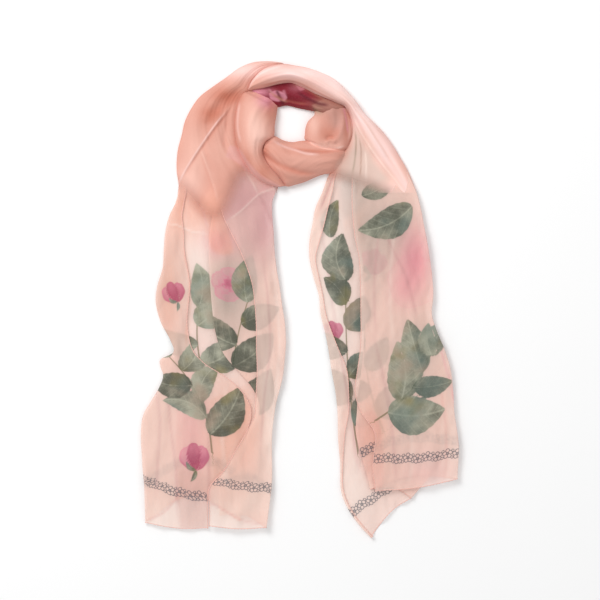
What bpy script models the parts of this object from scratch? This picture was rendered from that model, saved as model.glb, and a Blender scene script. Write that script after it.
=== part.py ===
"""Printed georgette scarf, laid flat with one and a half turns round an open neck hole.

One rectangular cloth is laid out as two long tails below a knotted ring. The tails are folded
lengthwise, so each is a real folded wall. The gathered stretches round the neck hole hold
many hidden layers, so each is one rounded solid with layered edges and creases in its top.

Metres, +Z up. +Y points from the hems to the top of the ring. The underside lies on z = 0 and
the origin is the middle of the plan's bounding box. The tables below are in millimetres from
that middle, and the plan is centred exactly at the end.
"""
import math

import bpy
import bmesh
from mathutils import Vector

# Driving dimensions, metres.
MM = 0.001
WALL = 1.0 * MM              # thickness of the folded wall
PITCH = 2.0 * MM             # from one layer of a tail to the next
SEAM_INSET = 0.25 * MM       # each side of a seam between two stretches
LIP = 1.2 * MM               # depth of the notches between layers at a gathered edge
LIPS = 3                     # layers that show at a gathered edge
LIP_SHARE = 0.17             # height of one of those layers, as a share of the roll's height
CREASE_HALF_WIDTH = 0.055    # half a crease's width, as a share of the roll's width
ROLL_STEPS = 2               # sections between two rows of a roll's table
FOLD_STEPS = 3               # segments round the fold of a tail
LAYER_STEPS = 3              # segments across one layer of a tail

# Colours: base colour, roughness.
PALE_PEACH = ((0.86, 0.70, 0.63, 1.0), 0.75)
PEACH = ((0.82, 0.55, 0.46, 1.0), 0.72)
MAGENTA = ((0.45, 0.08, 0.15, 1.0), 0.72)

# Plan edges that two stretches share, as (x, y) in mm.
ARCH_ROLL_SEAM = (
    (-30.9, 156.5), (-47.0, 162.1), (-62.4, 174.7), (-75.7, 194.3), (-84.1, 212.5),
    (-88.3, 230.7), (-88.6, 248.9), (-85.1, 271.3), (-78.8, 286.7), (-72.2, 292.3),
)
ARCH_OVER_SEAM = (
    (-65.9, 305.6), (-51.2, 319.6), (-34.4, 325.5), (-19.7, 327.3),
)
OVER_BAND_SEAM = (
    (-66.6, 291.9), (-52.6, 295.1), (-40.0, 298.6), (-26.0, 302.1), (-11.2, 303.1),
    (4.8, 296.8), (24.4, 286.3), (44.0, 277.9), (63.6, 269.1),
)
ROLL_RIGHT = (
    (-19.7, 157.9), (-29.5, 170.5), (-44.2, 186.6), (-52.6, 203.4), (-48.4, 219.5),
    (-37.2, 227.2), (-34.7, 243.3), (-32.3, 257.3), (-31.4, 264.0), (-31.2, 268.6),
)

# Gathered rolls. Each row is one section: its two ends in plan and its height, in mm.
ARCH_OUTER = (
    (-169.1, 156.5), (-171.6, 177.5), (-171.6, 194.3), (-169.5, 211.1), (-164.6, 229.3),
    (-160.4, 247.5), (-152.0, 265.0), (-139.4, 282.5), (-121.2, 296.5), (-103.0, 309.1),
    (-84.8, 322.4), (-65.2, 330.4), (-44.2, 332.2), (-26.0, 330.8),
)
ARCH_HEIGHT = (10, 11, 12, 13, 14, 15, 16, 16, 16, 15, 14, 13, 11, 8)

LEFT_ROLL_LEFT = ARCH_ROLL_SEAM[:-1] + ((-72.8, 291.0),)
LEFT_ROLL_HEIGHT = (15, 20, 23, 24, 25, 26, 26, 25, 22, 16)

BAND_LOWER = (
    (-66.6, 288.9), (-52.6, 281.1), (-40.0, 274.2), (-30.0, 269.4), (-17.6, 270.2),
    (-2.2, 266.7), (11.8, 263.9), (17.4, 262.9), (21.3, 262.5),
)
BAND_HEIGHT = (10, 13, 15, 16, 16, 16, 17, 18, 18)

OVER_LOWER = (
    (-71.2, 291.2), *OVER_BAND_SEAM[:-1], (54.0, 273.4), OVER_BAND_SEAM[-1],
    (70.6, 257.3), (74.1, 246.8), (74.8, 236.3), (72.4, 225.1), (66.0, 211.1), (57.0, 198.5),
)
OVER_UPPER = (
    (-72.2, 293.0), *ARCH_OVER_SEAM, (-9.2, 326.6), (9.0, 323.4), (27.2, 317.5),
    (45.4, 309.1), (59.4, 297.9), (79.0, 276.2),
    (90.2, 260.1), (102.8, 247.5), (114.0, 236.3), (123.8, 224.4), (132.9, 211.1),
    (140.6, 197.8),
)
OVER_HEIGHT = (16, 22, 28, 31, 32, 32, 31, 30, 28, 27, 25, 22, 20, 18, 16, 14, 12)

RIGHT_ROLL_LEFT = (
    (20.9, 261.8), (20.2, 256.6), (11.8, 248.2), (8.3, 239.1), (7.3, 230.7), (6.9, 223.7),
    (11.8, 219.3),
)
RIGHT_ROLL_RIGHT = (
    (63.6, 268.2), (69.4, 257.3), (72.9, 246.8), (73.6, 236.3), (71.2, 225.1),
    (65.2, 213.2), (60.4, 208.2),
)
RIGHT_ROLL_HEIGHT = (18, 20, 21, 21, 21, 20, 17)

FRONT_UPPER = (
    (-47.4, 218.9), (-36.6, 226.7), (-22.5, 221.6), (-9.9, 219.2), (0.6, 220.2),
    (12.5, 218.7), (27.2, 215.3), (42.6, 211.8), (60.2, 207.7),
)
FRONT_LOWER = (
    (-51.8, 203.6), (-43.6, 187.0), (-28.9, 171.0), (-18.6, 158.6), (-5.0, 159.9),
    (9.0, 164.2), (23.0, 170.5), (34.2, 174.3), (40.4, 174.9),
)
FRONT_HEIGHT = (14, 19, 21, 22, 22, 21, 20, 18, 14)

# Creases in the tops of the rolls: place across the roll as a share of its width, depth in mm.
ARCH_CREASES = ((0.22, 2.5), (0.52, 2.0), (0.80, 1.5))
LEFT_ROLL_CREASES = ((0.80, 2.0),)
BAND_CREASES = ((0.35, 2.0), (0.70, 1.5))
OVER_CREASES = ((0.30, 2.0), (0.62, 2.5))
RIGHT_ROLL_CREASES = ((0.50, 4.0),)
FRONT_CREASES = ((0.20, 3.0), (0.66, 4.0))

# Tails. A row is one section: its ends in plan, then how far from its left end each edge lies:
# strip = free edge of the strip folded over at the left, tuck = left fold of the hidden pleat,
# under = right fold below it, top = free edge of the top panel. Height scales the stack.
TAIL_COLUMNS = ("left_x", "left_y", "right_x", "right_y", "strip", "tuck", "under", "top",
                "height")
LEFT_TAIL = (
    (-216.4, -313.0, -45.6, -319.5, 88, 104, 134, 90, 1.00),
    (-217.1, -288.7, -42.1, -291.5, 89, 104, 142, 91, 1.00),
    (-217.8, -263.5, -38.6, -263.5, 91, 106, 150, 92, 1.00),
    (-219.9, -239.7, -37.9, -239.7, 114, 130, 160, 115, 1.00),
    (-221.6, -214.5, -38.2, -214.5, 131, 145, 165, 131, 1.00),
    (-222.7, -189.3, -37.9, -189.3, 147, 158, 171, 147, 1.05),
    (-219.9, -164.1, -35.1, -164.1, 152, 162, 173, 157, 1.05),
    (-209.4, -144.5, -31.9, -144.5, 138, 152, 166, 148, 1.05),
    (-197.5, -124.9, -26.7, -124.9, 112, 131, 160, 137, 1.05),
    (-191.5, -108.1, -22.8, -108.1, 86, 111, 158, 132, 1.05),
    (-195.4, -94.1, -21.1, -94.1, 67, 102, 163, 136, 1.05),
    (-194.7, -84.3, -20.2, -84.3, 55, 93, 163, 135, 1.05),
    (-177.2, -74.5, -19.3, -74.5, 29, 69, 148, 117, 1.05),
    (-181.4, -57.7, -18.6, -57.7, 27, 66, 152, 121, 1.05),
    (-194.7, -32.5, -20.2, -32.5, 37, 74, 162, 134, 1.05),
    (-201.7, -5.9, -24.2, -5.9, 46, 78, 166, 139, 1.05),
    (-199.6, 17.9, -27.4, 17.9, 46, 74, 160, 134, 1.10),
    (-192.2, 43.1, -31.6, 43.1, 35, 65, 149, 119, 1.15),
    (-190.5, 68.3, -34.4, 68.3, 29, 63, 144, 107, 1.20),
    (-188.4, 93.5, -35.8, 93.5, 26, 62, 141, 92, 1.25),
    (-182.8, 115.9, -37.5, 115.9, 18, 60, 134, 76, 1.30),
    (-173.7, 135.5, -37.5, 135.5, 12, 56, 126, 62, 1.35),
    (-169.4, 155.8, -31.6, 155.8, 11, 50, 126, 44, 1.40),
)
RIGHT_TAIL = (
    (48.2, -256.0, 221.1, -253.7, 4, 50, 109, 58, 1.00),
    (47.4, -228.5, 222.5, -228.5, 4, 43, 140, 55, 1.00),
    (54.5, -207.5, 223.2, -207.5, 4, 29, 155, 50, 1.00),
    (53.1, -186.5, 221.1, -186.5, 10, 25, 158, 52, 1.05),
    (52.4, -158.5, 216.9, -158.5, 16, 27, 156, 34, 1.05),
    (49.6, -130.5, 215.5, -130.5, 19, 32, 157, 28, 1.05),
    (44.0, -99.7, 212.0, -99.7, 22, 42, 159, 37, 1.05),
    (39.8, -71.7, 203.6, -71.7, 15, 49, 155, 45, 1.05),
    (34.9, -46.5, 193.1, -46.5, 10, 55, 149, 51, 1.05),
    (28.6, -21.3, 185.4, -21.3, 8, 62, 148, 57, 1.05),
    (26.5, 3.9, 187.5, 3.9, 6, 63, 152, 59, 1.05),
    (18.8, 30.5, 186.1, 30.5, 8, 70, 158, 66, 1.10),
    (13.2, 57.1, 182.6, 57.1, 9, 74, 160, 70, 1.15),
    (13.2, 82.3, 178.4, 82.3, 15, 69, 156, 65, 1.20),
    (17.4, 104.7, 174.2, 104.7, 17, 63, 148, 58, 1.25),
    (21.6, 127.1, 170.0, 127.1, 18, 59, 139, 52, 1.30),
    (31.4, 149.5, 163.7, 149.5, 14, 49, 123, 42, 1.35),
    (39.8, 172.6, 153.2, 172.6, 10, 40, 104, 34, 1.40),
    (48.6, 185.9, 147.6, 185.9, 8, 33, 90, 27, 1.45),
    (56.4, 197.6, 141.0, 197.0, 8, 28, 76, 21, 1.50),
)
# Layer of the stack on which each stretch of the fold runs, from the top panel to the strip.
STACK = (3, 2, 1, 0, 1)

# How far each edge of the cloth runs on past the last row at the hem, as (x, y) in mm, in
# the order of the fold: top, right, tuck, under, left, strip.
LEFT_HEM_DROP = ((0, -1), (0, 0), (0, 14), (0, 8), (0, 0), (0, -4))
RIGHT_HEM_DROP = ((0, -13), (0, 2), (0, -11), (0, -24), (51, -78), (50, -76))
HEM_REACH = {"left_tail": 70, "right_tail": 72}     # mm of the tail that the drop bends


def smooth_edge(points, steps):
    """Catmull-Rom curve through plan points, with a given number of steps between two."""
    edge = [Vector(point) * MM for point in points]
    ends = [2 * edge[0] - edge[1], *edge, 2 * edge[-1] - edge[-2]]
    curve = []
    for i in range(1, len(ends) - 2):
        before, start, end, after = ends[i - 1:i + 3]
        for step in range(steps):
            t = step / steps
            curve.append(0.5 * (2 * start + (end - before) * t
                                + (2 * before - 5 * start + 4 * end - after) * t * t
                                + (3 * start - before - 3 * end + after) * t ** 3))
    curve.append(edge[-1])
    return curve


def inset_edge(edge, other):
    """Move an edge of the plan in from the seam, towards the roll's other edge."""
    moved = []
    for i, point in enumerate(edge):
        along = edge[min(i + 1, len(edge) - 1)] - edge[max(i - 1, 0)]
        normal = Vector((-along.y, along.x)).normalized()
        side = 1 if normal.dot(other[i] - point) > 0 else -1
        moved.append(point + normal * side * SEAM_INSET)
    return moved


def smooth_values(values, steps):
    """Heights between the rows, in metres, in straight steps."""
    result = []
    for low, high in zip(values, values[1:]):
        result += [(low + (high - low) * step / steps) * MM for step in range(steps)]
    return result + [values[-1] * MM]


def roll_section(width, height, creases):
    """Closed section of a gathered roll, as (across, up): flat below, layered at both edges."""
    lip = min(LIP, 0.08 * width)
    side = [(lip, 0.0)]
    for layer in range(LIPS):
        side.append((0.0, (layer + 0.5) * LIP_SHARE * height))
        side.append((lip, (layer + 1.0) * LIP_SHARE * height))
    shoulder = LIPS * LIP_SHARE
    places = {round(0.08 + 0.84 * step / 7, 3) for step in range(8)}
    for place, _ in creases:
        places = {p for p in places if abs(p - place) > 1.4 * CREASE_HALF_WIDTH}
        places |= {place - CREASE_HALF_WIDTH, place, place + CREASE_HALF_WIDTH}
    crown = []
    for place in sorted(places):
        up = height * (shoulder + (1 - shoulder) * math.sin(math.pi * place) ** 0.7)
        for crease, depth in creases:
            if abs(place - crease) < 0.5 * CREASE_HALF_WIDTH:
                up -= depth * MM * min(1.0, width / 0.03)
        crown.append((lip + (width - 2 * lip) * place, up))
    far_side = [(width - across, up) for across, up in reversed(side)]
    return side + crown + far_side


def loft(name, rings, colour, fan_caps=False):
    """One closed body through rings of points, with both ends capped, by fans if asked."""
    mesh = bpy.data.meshes.new(name)
    body = bmesh.new()
    loops = [[body.verts.new(point) for point in ring] for ring in rings]
    for near, far in zip(loops, loops[1:]):
        for i in range(len(near)):
            j = (i + 1) % len(near)
            body.faces.new((near[i], near[j], far[j], far[i]))
    caps = [body.faces.new(loops[0]), body.faces.new(loops[-1])]
    if fan_caps:
        bmesh.ops.poke(body, faces=caps)
    bmesh.ops.triangulate(body, faces=body.faces[:])
    bmesh.ops.recalc_face_normals(body, faces=body.faces[:])
    body.to_mesh(mesh)
    body.free()
    mesh.shade_smooth()
    mesh.set_sharp_from_angle(angle=math.radians(50))
    mesh.materials.append(material(name, colour))
    piece = bpy.data.objects.new(name, mesh)
    bpy.context.scene.collection.objects.link(piece)
    return piece


def material(name, colour):
    """Plain Principled material of one stretch."""
    finish = bpy.data.materials.new(name)
    finish.use_nodes = True
    shader = finish.node_tree.nodes["Principled BSDF"]
    shader.inputs["Base Color"].default_value = colour[0]
    shader.inputs["Roughness"].default_value = colour[1]
    shader.inputs["Metallic"].default_value = 0.0
    return finish


def gathered_roll(name, left, right, heights, creases, colour):
    """Rounded solid of a gathered stretch between its two plan edges."""
    left_curve = smooth_edge(left, ROLL_STEPS)
    right_curve = smooth_edge(right, ROLL_STEPS)
    left_edge = inset_edge(left_curve, right_curve)
    right_edge = inset_edge(right_curve, left_curve)
    rings = []
    for start, end, height in zip(left_edge, right_edge, smooth_values(heights, ROLL_STEPS)):
        across = end - start
        section = roll_section(across.length, height, creases)
        across.normalize()
        rings.append([(start + across * s).to_3d() + Vector((0, 0, up)) for s, up in section])
    return loft(name, rings, colour, fan_caps=True)


def fold_line(stops):
    """Middle line of a folded section, as (across, up, place along the fold's stops)."""
    levels = [WALL / 2 + level * PITCH for level in STACK]
    line = [(stops[0], levels[0], 0.0)]
    start = stops[0]
    for i, up in enumerate(levels):
        heading = 1 if stops[i + 1] > stops[i] else -1
        last = i == len(levels) - 1
        rise = 0.0 if last else (levels[i + 1] - up) / 2
        bulge = 0.0 if last else min(abs(rise), 0.8 * PITCH)
        centre = stops[i + 1] - (0.0 if last else heading * (bulge + WALL / 2))
        for step in range(1, LAYER_STEPS + 1):
            share = step / LAYER_STEPS
            line.append((start + (centre - start) * share, up, i + 0.98 * share))
        if not last:
            for step in range(1, FOLD_STEPS):
                turn = math.pi * (step / FOLD_STEPS - 0.5)
                line.append((centre + heading * bulge * math.cos(turn),
                             up + rise * (1 + math.sin(turn)), i + 1.0))
            line.append((centre, levels[i + 1], i + 1.02))
            start = centre
    return line


def wall_section(line, scale):
    """Closed outline of the folded wall about its middle line, as (across, up, place)."""
    sides = ([], [])
    for i, (across, up, place) in enumerate(line):
        before = line[max(i - 1, 0)]
        after = line[min(i + 1, len(line) - 1)]
        along = Vector((after[0] - before[0], after[1] - before[1])).normalized()
        for side, points in zip((1, -1), sides):
            offset = Vector((-along.y, along.x)) * side * WALL / 2
            points.append((across + offset.x, (up + offset.y) * scale, place))
    return sides[0] + sides[1][::-1]


def hem_shift(drops, place):
    """Plan shift at a place along the fold, between the drops of its stops."""
    i = max(0, min(int(place), len(drops) - 2))
    share = min(max(place - i, 0.0), 1.0)
    return [(drops[i][k] + (drops[i + 1][k] - drops[i][k]) * share) * MM for k in (0, 1)]


def folded_tail(name, table, drops, colour):
    """Folded wall of one tail, section by section from the hem to the ring."""
    rings = []
    hem = table[0][1]
    for values in table:
        row = dict(zip(TAIL_COLUMNS, values))
        left = Vector((row["left_x"], row["left_y"])) * MM
        right = Vector((row["right_x"], row["right_y"])) * MM
        across = right - left
        width = across.length
        across.normalize()
        stops = [row["top"] * MM, width, row["tuck"] * MM, row["under"] * MM, 0.0,
                 row["strip"] * MM]
        weight = max(0.0, 1 - (row["left_y"] - hem) / HEM_REACH[name])
        ring = []
        for s, up, place in wall_section(fold_line(stops), row["height"]):
            shift_x, shift_y = hem_shift(drops, place)
            plan = left + across * s + Vector((shift_x * weight ** 3, shift_y * weight))
            ring.append(plan.to_3d() + Vector((0, 0, up)))
        rings.append(ring)
    return loft(name, rings, colour)


def centre_plan(pieces):
    """Put the origin at the middle of the plan's bounding box, on the underside."""
    points = [vertex.co for piece in pieces for vertex in piece.data.vertices]
    low = [min(point[axis] for point in points) for axis in range(3)]
    high = [max(point[axis] for point in points) for axis in range(3)]
    shift = Vector((-(low[0] + high[0]) / 2, -(low[1] + high[1]) / 2, -low[2]))
    for piece in pieces:
        for vertex in piece.data.vertices:
            vertex.co += shift


def main():
    for old in list(bpy.data.objects):
        bpy.data.objects.remove(old)
    pieces = [
        folded_tail("left_tail", LEFT_TAIL, LEFT_HEM_DROP, PALE_PEACH),
        gathered_roll("left_arch", ARCH_OUTER, ARCH_ROLL_SEAM + ARCH_OVER_SEAM, ARCH_HEIGHT,
                      ARCH_CREASES, PEACH),
        gathered_roll("inner_band", BAND_LOWER, OVER_BAND_SEAM, BAND_HEIGHT, BAND_CREASES,
                      MAGENTA),
        gathered_roll("right_roll", RIGHT_ROLL_LEFT, RIGHT_ROLL_RIGHT, RIGHT_ROLL_HEIGHT,
                      RIGHT_ROLL_CREASES, PEACH),
        gathered_roll("front_roll", FRONT_UPPER, FRONT_LOWER, FRONT_HEIGHT, FRONT_CREASES,
                      PEACH),
        gathered_roll("left_roll", LEFT_ROLL_LEFT, ROLL_RIGHT, LEFT_ROLL_HEIGHT,
                      LEFT_ROLL_CREASES, PEACH),
        gathered_roll("over_band", OVER_LOWER, OVER_UPPER, OVER_HEIGHT, OVER_CREASES, PEACH),
        folded_tail("right_tail", RIGHT_TAIL, RIGHT_HEM_DROP, PALE_PEACH),
    ]
    centre_plan(pieces)


main()
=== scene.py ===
"""Looks of the printed georgette scarf: sheer folded tails below a gathered ring, laid flat.

Each stretch of cloth is a thin sheet on the form of its solid. The tails are one folded sheet
each, so their layers show through one another. The gathered stretches are sheets wrapped round
many hidden layers, with their creases placed one by one.
"""

import math

import bpy
import numpy as np
from bpy.props import FloatProperty, FloatVectorProperty, PointerProperty
from bpy.types import Operator, Panel, PropertyGroup
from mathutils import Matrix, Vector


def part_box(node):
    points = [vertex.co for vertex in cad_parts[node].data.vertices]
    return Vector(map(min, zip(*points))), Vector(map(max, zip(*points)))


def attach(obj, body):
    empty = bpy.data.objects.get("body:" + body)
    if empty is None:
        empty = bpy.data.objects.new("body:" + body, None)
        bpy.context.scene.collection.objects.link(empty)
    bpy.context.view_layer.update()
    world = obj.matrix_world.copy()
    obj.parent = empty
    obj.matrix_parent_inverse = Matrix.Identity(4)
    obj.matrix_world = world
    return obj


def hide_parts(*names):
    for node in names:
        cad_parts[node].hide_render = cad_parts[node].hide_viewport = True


bl_info = {
    "name": "Georgette scarf",
    "version": (1, 0, 0),
    "blender": (4, 5, 0),
    "location": "3D View > Sidebar > Scarf",
    "description": "Sheer printed scarf, laid flat with a turn and a half round its neck hole",
    "category": "Object",
}

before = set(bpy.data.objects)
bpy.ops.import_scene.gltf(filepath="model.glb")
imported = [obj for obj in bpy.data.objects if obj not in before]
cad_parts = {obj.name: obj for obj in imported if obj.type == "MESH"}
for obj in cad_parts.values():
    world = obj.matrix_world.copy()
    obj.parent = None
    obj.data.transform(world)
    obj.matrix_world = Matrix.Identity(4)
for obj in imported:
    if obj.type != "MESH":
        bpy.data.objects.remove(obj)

MM = 0.001
WALL = 1.0                   # mm, thickness of the solids' folded wall
PITCH = 2.0                  # mm, from one layer of a tail to the next
STACK = (3, 2, 1, 0, 1)      # level of each stretch of the fold, from the top panel on
PANEL_COLUMNS = (46, 34, 26, 54, 56)    # columns of points across each stretch of the fold
TURN_COLUMNS = 5             # columns of points round each turn of the fold
TAIL_STEPS = 9               # rows of points to each row of a tail's table
RING_STEPS = 12              # rings of points to each row of a gathered stretch
BAND_STEPS = 14              # the same for the inner band
PATH_STEPS = 4               # stations to each point of a path

# The cloth is laid out on a grid of 600 squares of 1.4 mm, from the top left corner. The
# creases and the print are placed on it. The tables of edges and tails are in mm from its
# middle, +Y up.
GRID = 1.4
GRID_MIDDLE = (299.6, 298.8)

ARCH_ROLL_SEAM = (
    (-30.9, 156.5), (-47.0, 162.1), (-62.4, 174.7), (-75.7, 194.3), (-84.1, 212.5),
    (-88.3, 230.7), (-88.6, 248.9), (-85.1, 271.3), (-78.8, 286.7), (-72.2, 292.3),
)
ARCH_OVER_SEAM = (
    (-65.9, 305.6), (-51.2, 319.6), (-34.4, 325.5), (-19.7, 327.3),
)
OVER_BAND_SEAM = (
    (-66.6, 291.9), (-52.6, 295.1), (-40.0, 298.6), (-26.0, 302.1), (-11.2, 303.1),
    (4.8, 296.8), (24.4, 286.3), (44.0, 277.9), (63.6, 269.1),
)
ROLL_RIGHT = (
    (-19.7, 157.9), (-29.5, 170.5), (-44.2, 186.6), (-52.6, 203.4), (-48.4, 219.5),
    (-37.2, 227.2), (-34.7, 243.3), (-32.3, 257.3), (-31.4, 264.0), (-31.2, 268.6),
)
ARCH_OUTER = (
    (-169.1, 156.5), (-171.6, 177.5), (-171.6, 194.3), (-169.5, 211.1), (-164.6, 229.3),
    (-160.4, 247.5), (-152.0, 265.0), (-139.4, 282.5), (-121.2, 296.5), (-103.0, 309.1),
    (-84.8, 322.4), (-65.2, 330.4), (-44.2, 332.2), (-26.0, 330.8),
)
ARCH_HEIGHT = (10, 11, 12, 13, 14, 15, 16, 16, 16, 15, 14, 13, 11, 8)
LEFT_ROLL_LEFT = ARCH_ROLL_SEAM[:-1] + ((-72.8, 291.0),)
LEFT_ROLL_HEIGHT = (15, 20, 23, 24, 25, 26, 26, 25, 22, 16)
BAND_LOWER = (
    (-66.6, 288.9), (-52.6, 281.1), (-40.0, 274.2), (-30.0, 269.4), (-17.6, 270.2),
    (-2.2, 266.7), (11.8, 263.9), (17.4, 262.9), (21.3, 262.5),
)
BAND_HEIGHT = (10, 13, 15, 16, 16, 16, 17, 18, 18)
OVER_LOWER = (
    (-71.2, 291.2), *OVER_BAND_SEAM[:-1], (54.0, 273.4), OVER_BAND_SEAM[-1],
    (70.6, 257.3), (74.1, 246.8), (74.8, 236.3), (72.4, 225.1), (66.0, 211.1), (57.0, 198.5),
)
OVER_UPPER = (
    (-72.2, 293.0), *ARCH_OVER_SEAM, (-9.2, 326.6), (9.0, 323.4), (27.2, 317.5),
    (45.4, 309.1), (59.4, 297.9), (79.0, 276.2),
    (90.2, 260.1), (102.8, 247.5), (114.0, 236.3), (123.8, 224.4), (132.9, 211.1),
    (140.6, 197.8),
)
OVER_HEIGHT = (16, 22, 28, 31, 32, 32, 31, 30, 28, 27, 25, 22, 20, 18, 16, 14, 12)
RIGHT_ROLL_LEFT = (
    (20.9, 261.8), (20.2, 256.6), (11.8, 248.2), (8.3, 239.1), (7.3, 230.7), (6.9, 223.7),
    (11.8, 219.3),
)
RIGHT_ROLL_RIGHT = (
    (63.6, 268.2), (69.4, 257.3), (72.9, 246.8), (73.6, 236.3), (71.2, 225.1),
    (65.2, 213.2), (60.4, 208.2),
)
RIGHT_ROLL_HEIGHT = (18, 20, 21, 21, 21, 20, 17)
FRONT_UPPER = (
    (-47.4, 218.9), (-36.6, 226.7), (-22.5, 221.6), (-9.9, 219.2), (0.6, 220.2),
    (12.5, 218.7), (27.2, 215.3), (42.6, 211.8), (60.2, 207.7),
)
FRONT_LOWER = (
    (-51.8, 203.6), (-43.6, 187.0), (-28.9, 171.0), (-18.6, 158.6), (-5.0, 159.9),
    (9.0, 164.2), (23.0, 170.5), (34.2, 174.3), (40.4, 174.9),
)
FRONT_HEIGHT = (14, 19, 21, 22, 22, 21, 20, 18, 14)

# Rows by which the arch and the over band run on over the tails, where they thin out.
ARCH_RUN = (((-188.0, 94.0), (-184.0, 114.0), (-174.5, 136.0)),
            ((-36.0, 94.0), (-37.5, 114.0), (-37.0, 136.0)), (9, 10, 11))
OVER_RUN = (((46.5, 183.0), (38.0, 166.0), (31.0, 148.0)),
            ((149.0, 183.5), (156.5, 167.0), (164.0, 148.0)), (13, 12, 10))
# Rows by which the other ends run on under the stretch that lies over them.
LEFT_ROLL_RUN = (((-64.0, 300.0),), ((-27.0, 277.0),), (9,))
FRONT_RUN = (((68.0, 204.0),), ((50.0, 176.5),), (6,))
RIGHT_ROLL_RUN = (((24.0, 268.5),), ((65.0, 275.0),), (12,))
RIGHT_ROLL_FOOT = (((15.0, 212.5),), ((57.0, 202.5),), (9,))
BAND_RUN = (((30.0, 255.0),), ((67.0, 261.0),), (12,))

# Tails, as in the solids. The last rows run on under the gathered ring.
TAIL_COLUMNS = ("left_x", "left_y", "right_x", "right_y", "strip", "tuck", "under", "top",
                "height")
LEFT_TAIL = (
    (-216.4, -313.0, -45.6, -319.5, 88, 104, 134, 90, 1.00),
    (-217.1, -288.7, -42.1, -291.5, 89, 104, 142, 91, 1.00),
    (-217.8, -263.5, -38.6, -263.5, 91, 106, 150, 92, 1.00),
    (-219.9, -239.7, -37.9, -239.7, 114, 130, 160, 115, 1.00),
    (-221.6, -214.5, -38.2, -214.5, 131, 145, 165, 131, 1.00),
    (-222.7, -189.3, -37.9, -189.3, 147, 158, 171, 147, 1.05),
    (-219.9, -164.1, -35.1, -164.1, 152, 162, 173, 157, 1.05),
    (-209.4, -144.5, -31.9, -144.5, 138, 152, 166, 148, 1.05),
    (-197.5, -124.9, -26.7, -124.9, 112, 131, 160, 137, 1.05),
    (-191.5, -108.1, -22.8, -108.1, 86, 111, 158, 132, 1.05),
    (-195.4, -94.1, -21.1, -94.1, 67, 102, 163, 136, 1.05),
    (-194.7, -84.3, -20.2, -84.3, 55, 93, 163, 135, 1.05),
    (-177.2, -74.5, -19.3, -74.5, 29, 69, 148, 117, 1.05),
    (-181.4, -57.7, -18.6, -57.7, 27, 66, 152, 121, 1.05),
    (-194.7, -32.5, -20.2, -32.5, 37, 74, 162, 134, 1.05),
    (-201.7, -5.9, -24.2, -5.9, 46, 78, 166, 139, 1.05),
    (-199.6, 17.9, -27.4, 17.9, 46, 74, 160, 134, 1.10),
    (-192.2, 43.1, -31.6, 43.1, 35, 65, 149, 119, 1.15),
    (-190.5, 68.3, -34.4, 68.3, 29, 63, 144, 107, 1.15),
    (-188.4, 93.5, -35.8, 93.5, 26, 62, 141, 92, 1.15),
    (-182.8, 115.9, -37.5, 115.9, 18, 60, 134, 76, 1.10),
    (-173.7, 135.5, -37.5, 135.5, 12, 56, 126, 62, 0.95),
    (-169.4, 155.8, -34.6, 155.8, 11, 50, 122, 44, 0.75),
    (-170.0, 176.0, -64.0, 176.0, 11, 40, 98, 34, 0.55),
    (-170.0, 196.0, -78.0, 196.0, 11, 36, 82, 26, 0.45),
)
RIGHT_TAIL = (
    (48.2, -256.0, 221.1, -253.7, 4, 50, 109, 58, 1.00),
    (47.4, -228.5, 222.5, -228.5, 4, 43, 140, 55, 1.00),
    (54.5, -207.5, 223.2, -207.5, 4, 29, 155, 50, 1.00),
    (53.1, -186.5, 221.1, -186.5, 10, 25, 158, 52, 1.05),
    (52.4, -158.5, 216.9, -158.5, 16, 27, 156, 34, 1.05),
    (49.6, -130.5, 215.5, -130.5, 19, 32, 157, 28, 1.05),
    (44.0, -99.7, 212.0, -99.7, 22, 42, 159, 37, 1.05),
    (39.8, -71.7, 203.6, -71.7, 15, 49, 155, 45, 1.05),
    (34.9, -46.5, 193.1, -46.5, 10, 55, 149, 51, 1.05),
    (28.6, -21.3, 185.4, -21.3, 8, 62, 148, 57, 1.05),
    (26.5, 3.9, 187.5, 3.9, 6, 63, 152, 59, 1.05),
    (18.8, 30.5, 186.1, 30.5, 8, 70, 158, 66, 1.10),
    (13.2, 57.1, 182.6, 57.1, 9, 74, 160, 70, 1.15),
    (13.2, 82.3, 178.4, 82.3, 15, 69, 156, 65, 1.20),
    (17.4, 104.7, 174.2, 104.7, 17, 63, 148, 58, 1.25),
    (21.6, 127.1, 170.0, 127.1, 18, 59, 139, 52, 1.30),
    (31.4, 149.5, 163.7, 149.5, 14, 49, 123, 42, 1.15),
    (39.8, 172.6, 153.2, 172.6, 10, 40, 104, 34, 0.95),
    (48.6, 185.9, 147.0, 185.9, 8, 33, 89, 27, 0.75),
    (57.4, 197.6, 139.0, 197.0, 8, 28, 74, 21, 0.60),
    (68.0, 214.0, 128.0, 214.0, 6, 22, 54, 18, 0.50),
)
# Shift of the hem in mm where each stretch of the fold begins, and at the last one's end.
LEFT_HEM_DROP = ((0, -1), (0, 0), (0, 14), (0, 8), (0, 0), (0, -4))
RIGHT_HEM_DROP = ((0, -13), (0, 2), (0, -11), (0, -24), (51, -78), (50, -76))
HEM_REACH = {"left": 70, "right": 72}    # mm up the tail that a hem's drop reaches
# How far each layer's hem rises in its middle, in mm, from the top panel to the strip.
HEM_RISE = {"left": (-3, 10, 14, 36, -4), "right": (-4, 12, 10, 8, 0)}

# From the tables' middle to the middle of the plan, which is the frame's origin. The tip of
# the right tail's turned corner is the lowest point of the tables.
LOWEST = RIGHT_TAIL[0][1] + RIGHT_HEM_DROP[4][1]
PLAN_SHIFT = np.array((0.0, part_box("right_tail")[0][1] - LOWEST * MM))

# Shift of the border up its layer where the cloth is pulled askew: layer, then grid x and mm.
BORDER_SHIFT = {
    "left": ((4, (146, 209), (-6, 11)), (0, (209, 272), (-13, -2))),
    "right": ((0, (372, 458), (7, 16)),),
}
# Hem line of the turned corner on the grid. Its border follows this line.
TURNED_CORNER = {"left": None, "right": ((350, 513), (383, 491))}

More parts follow.
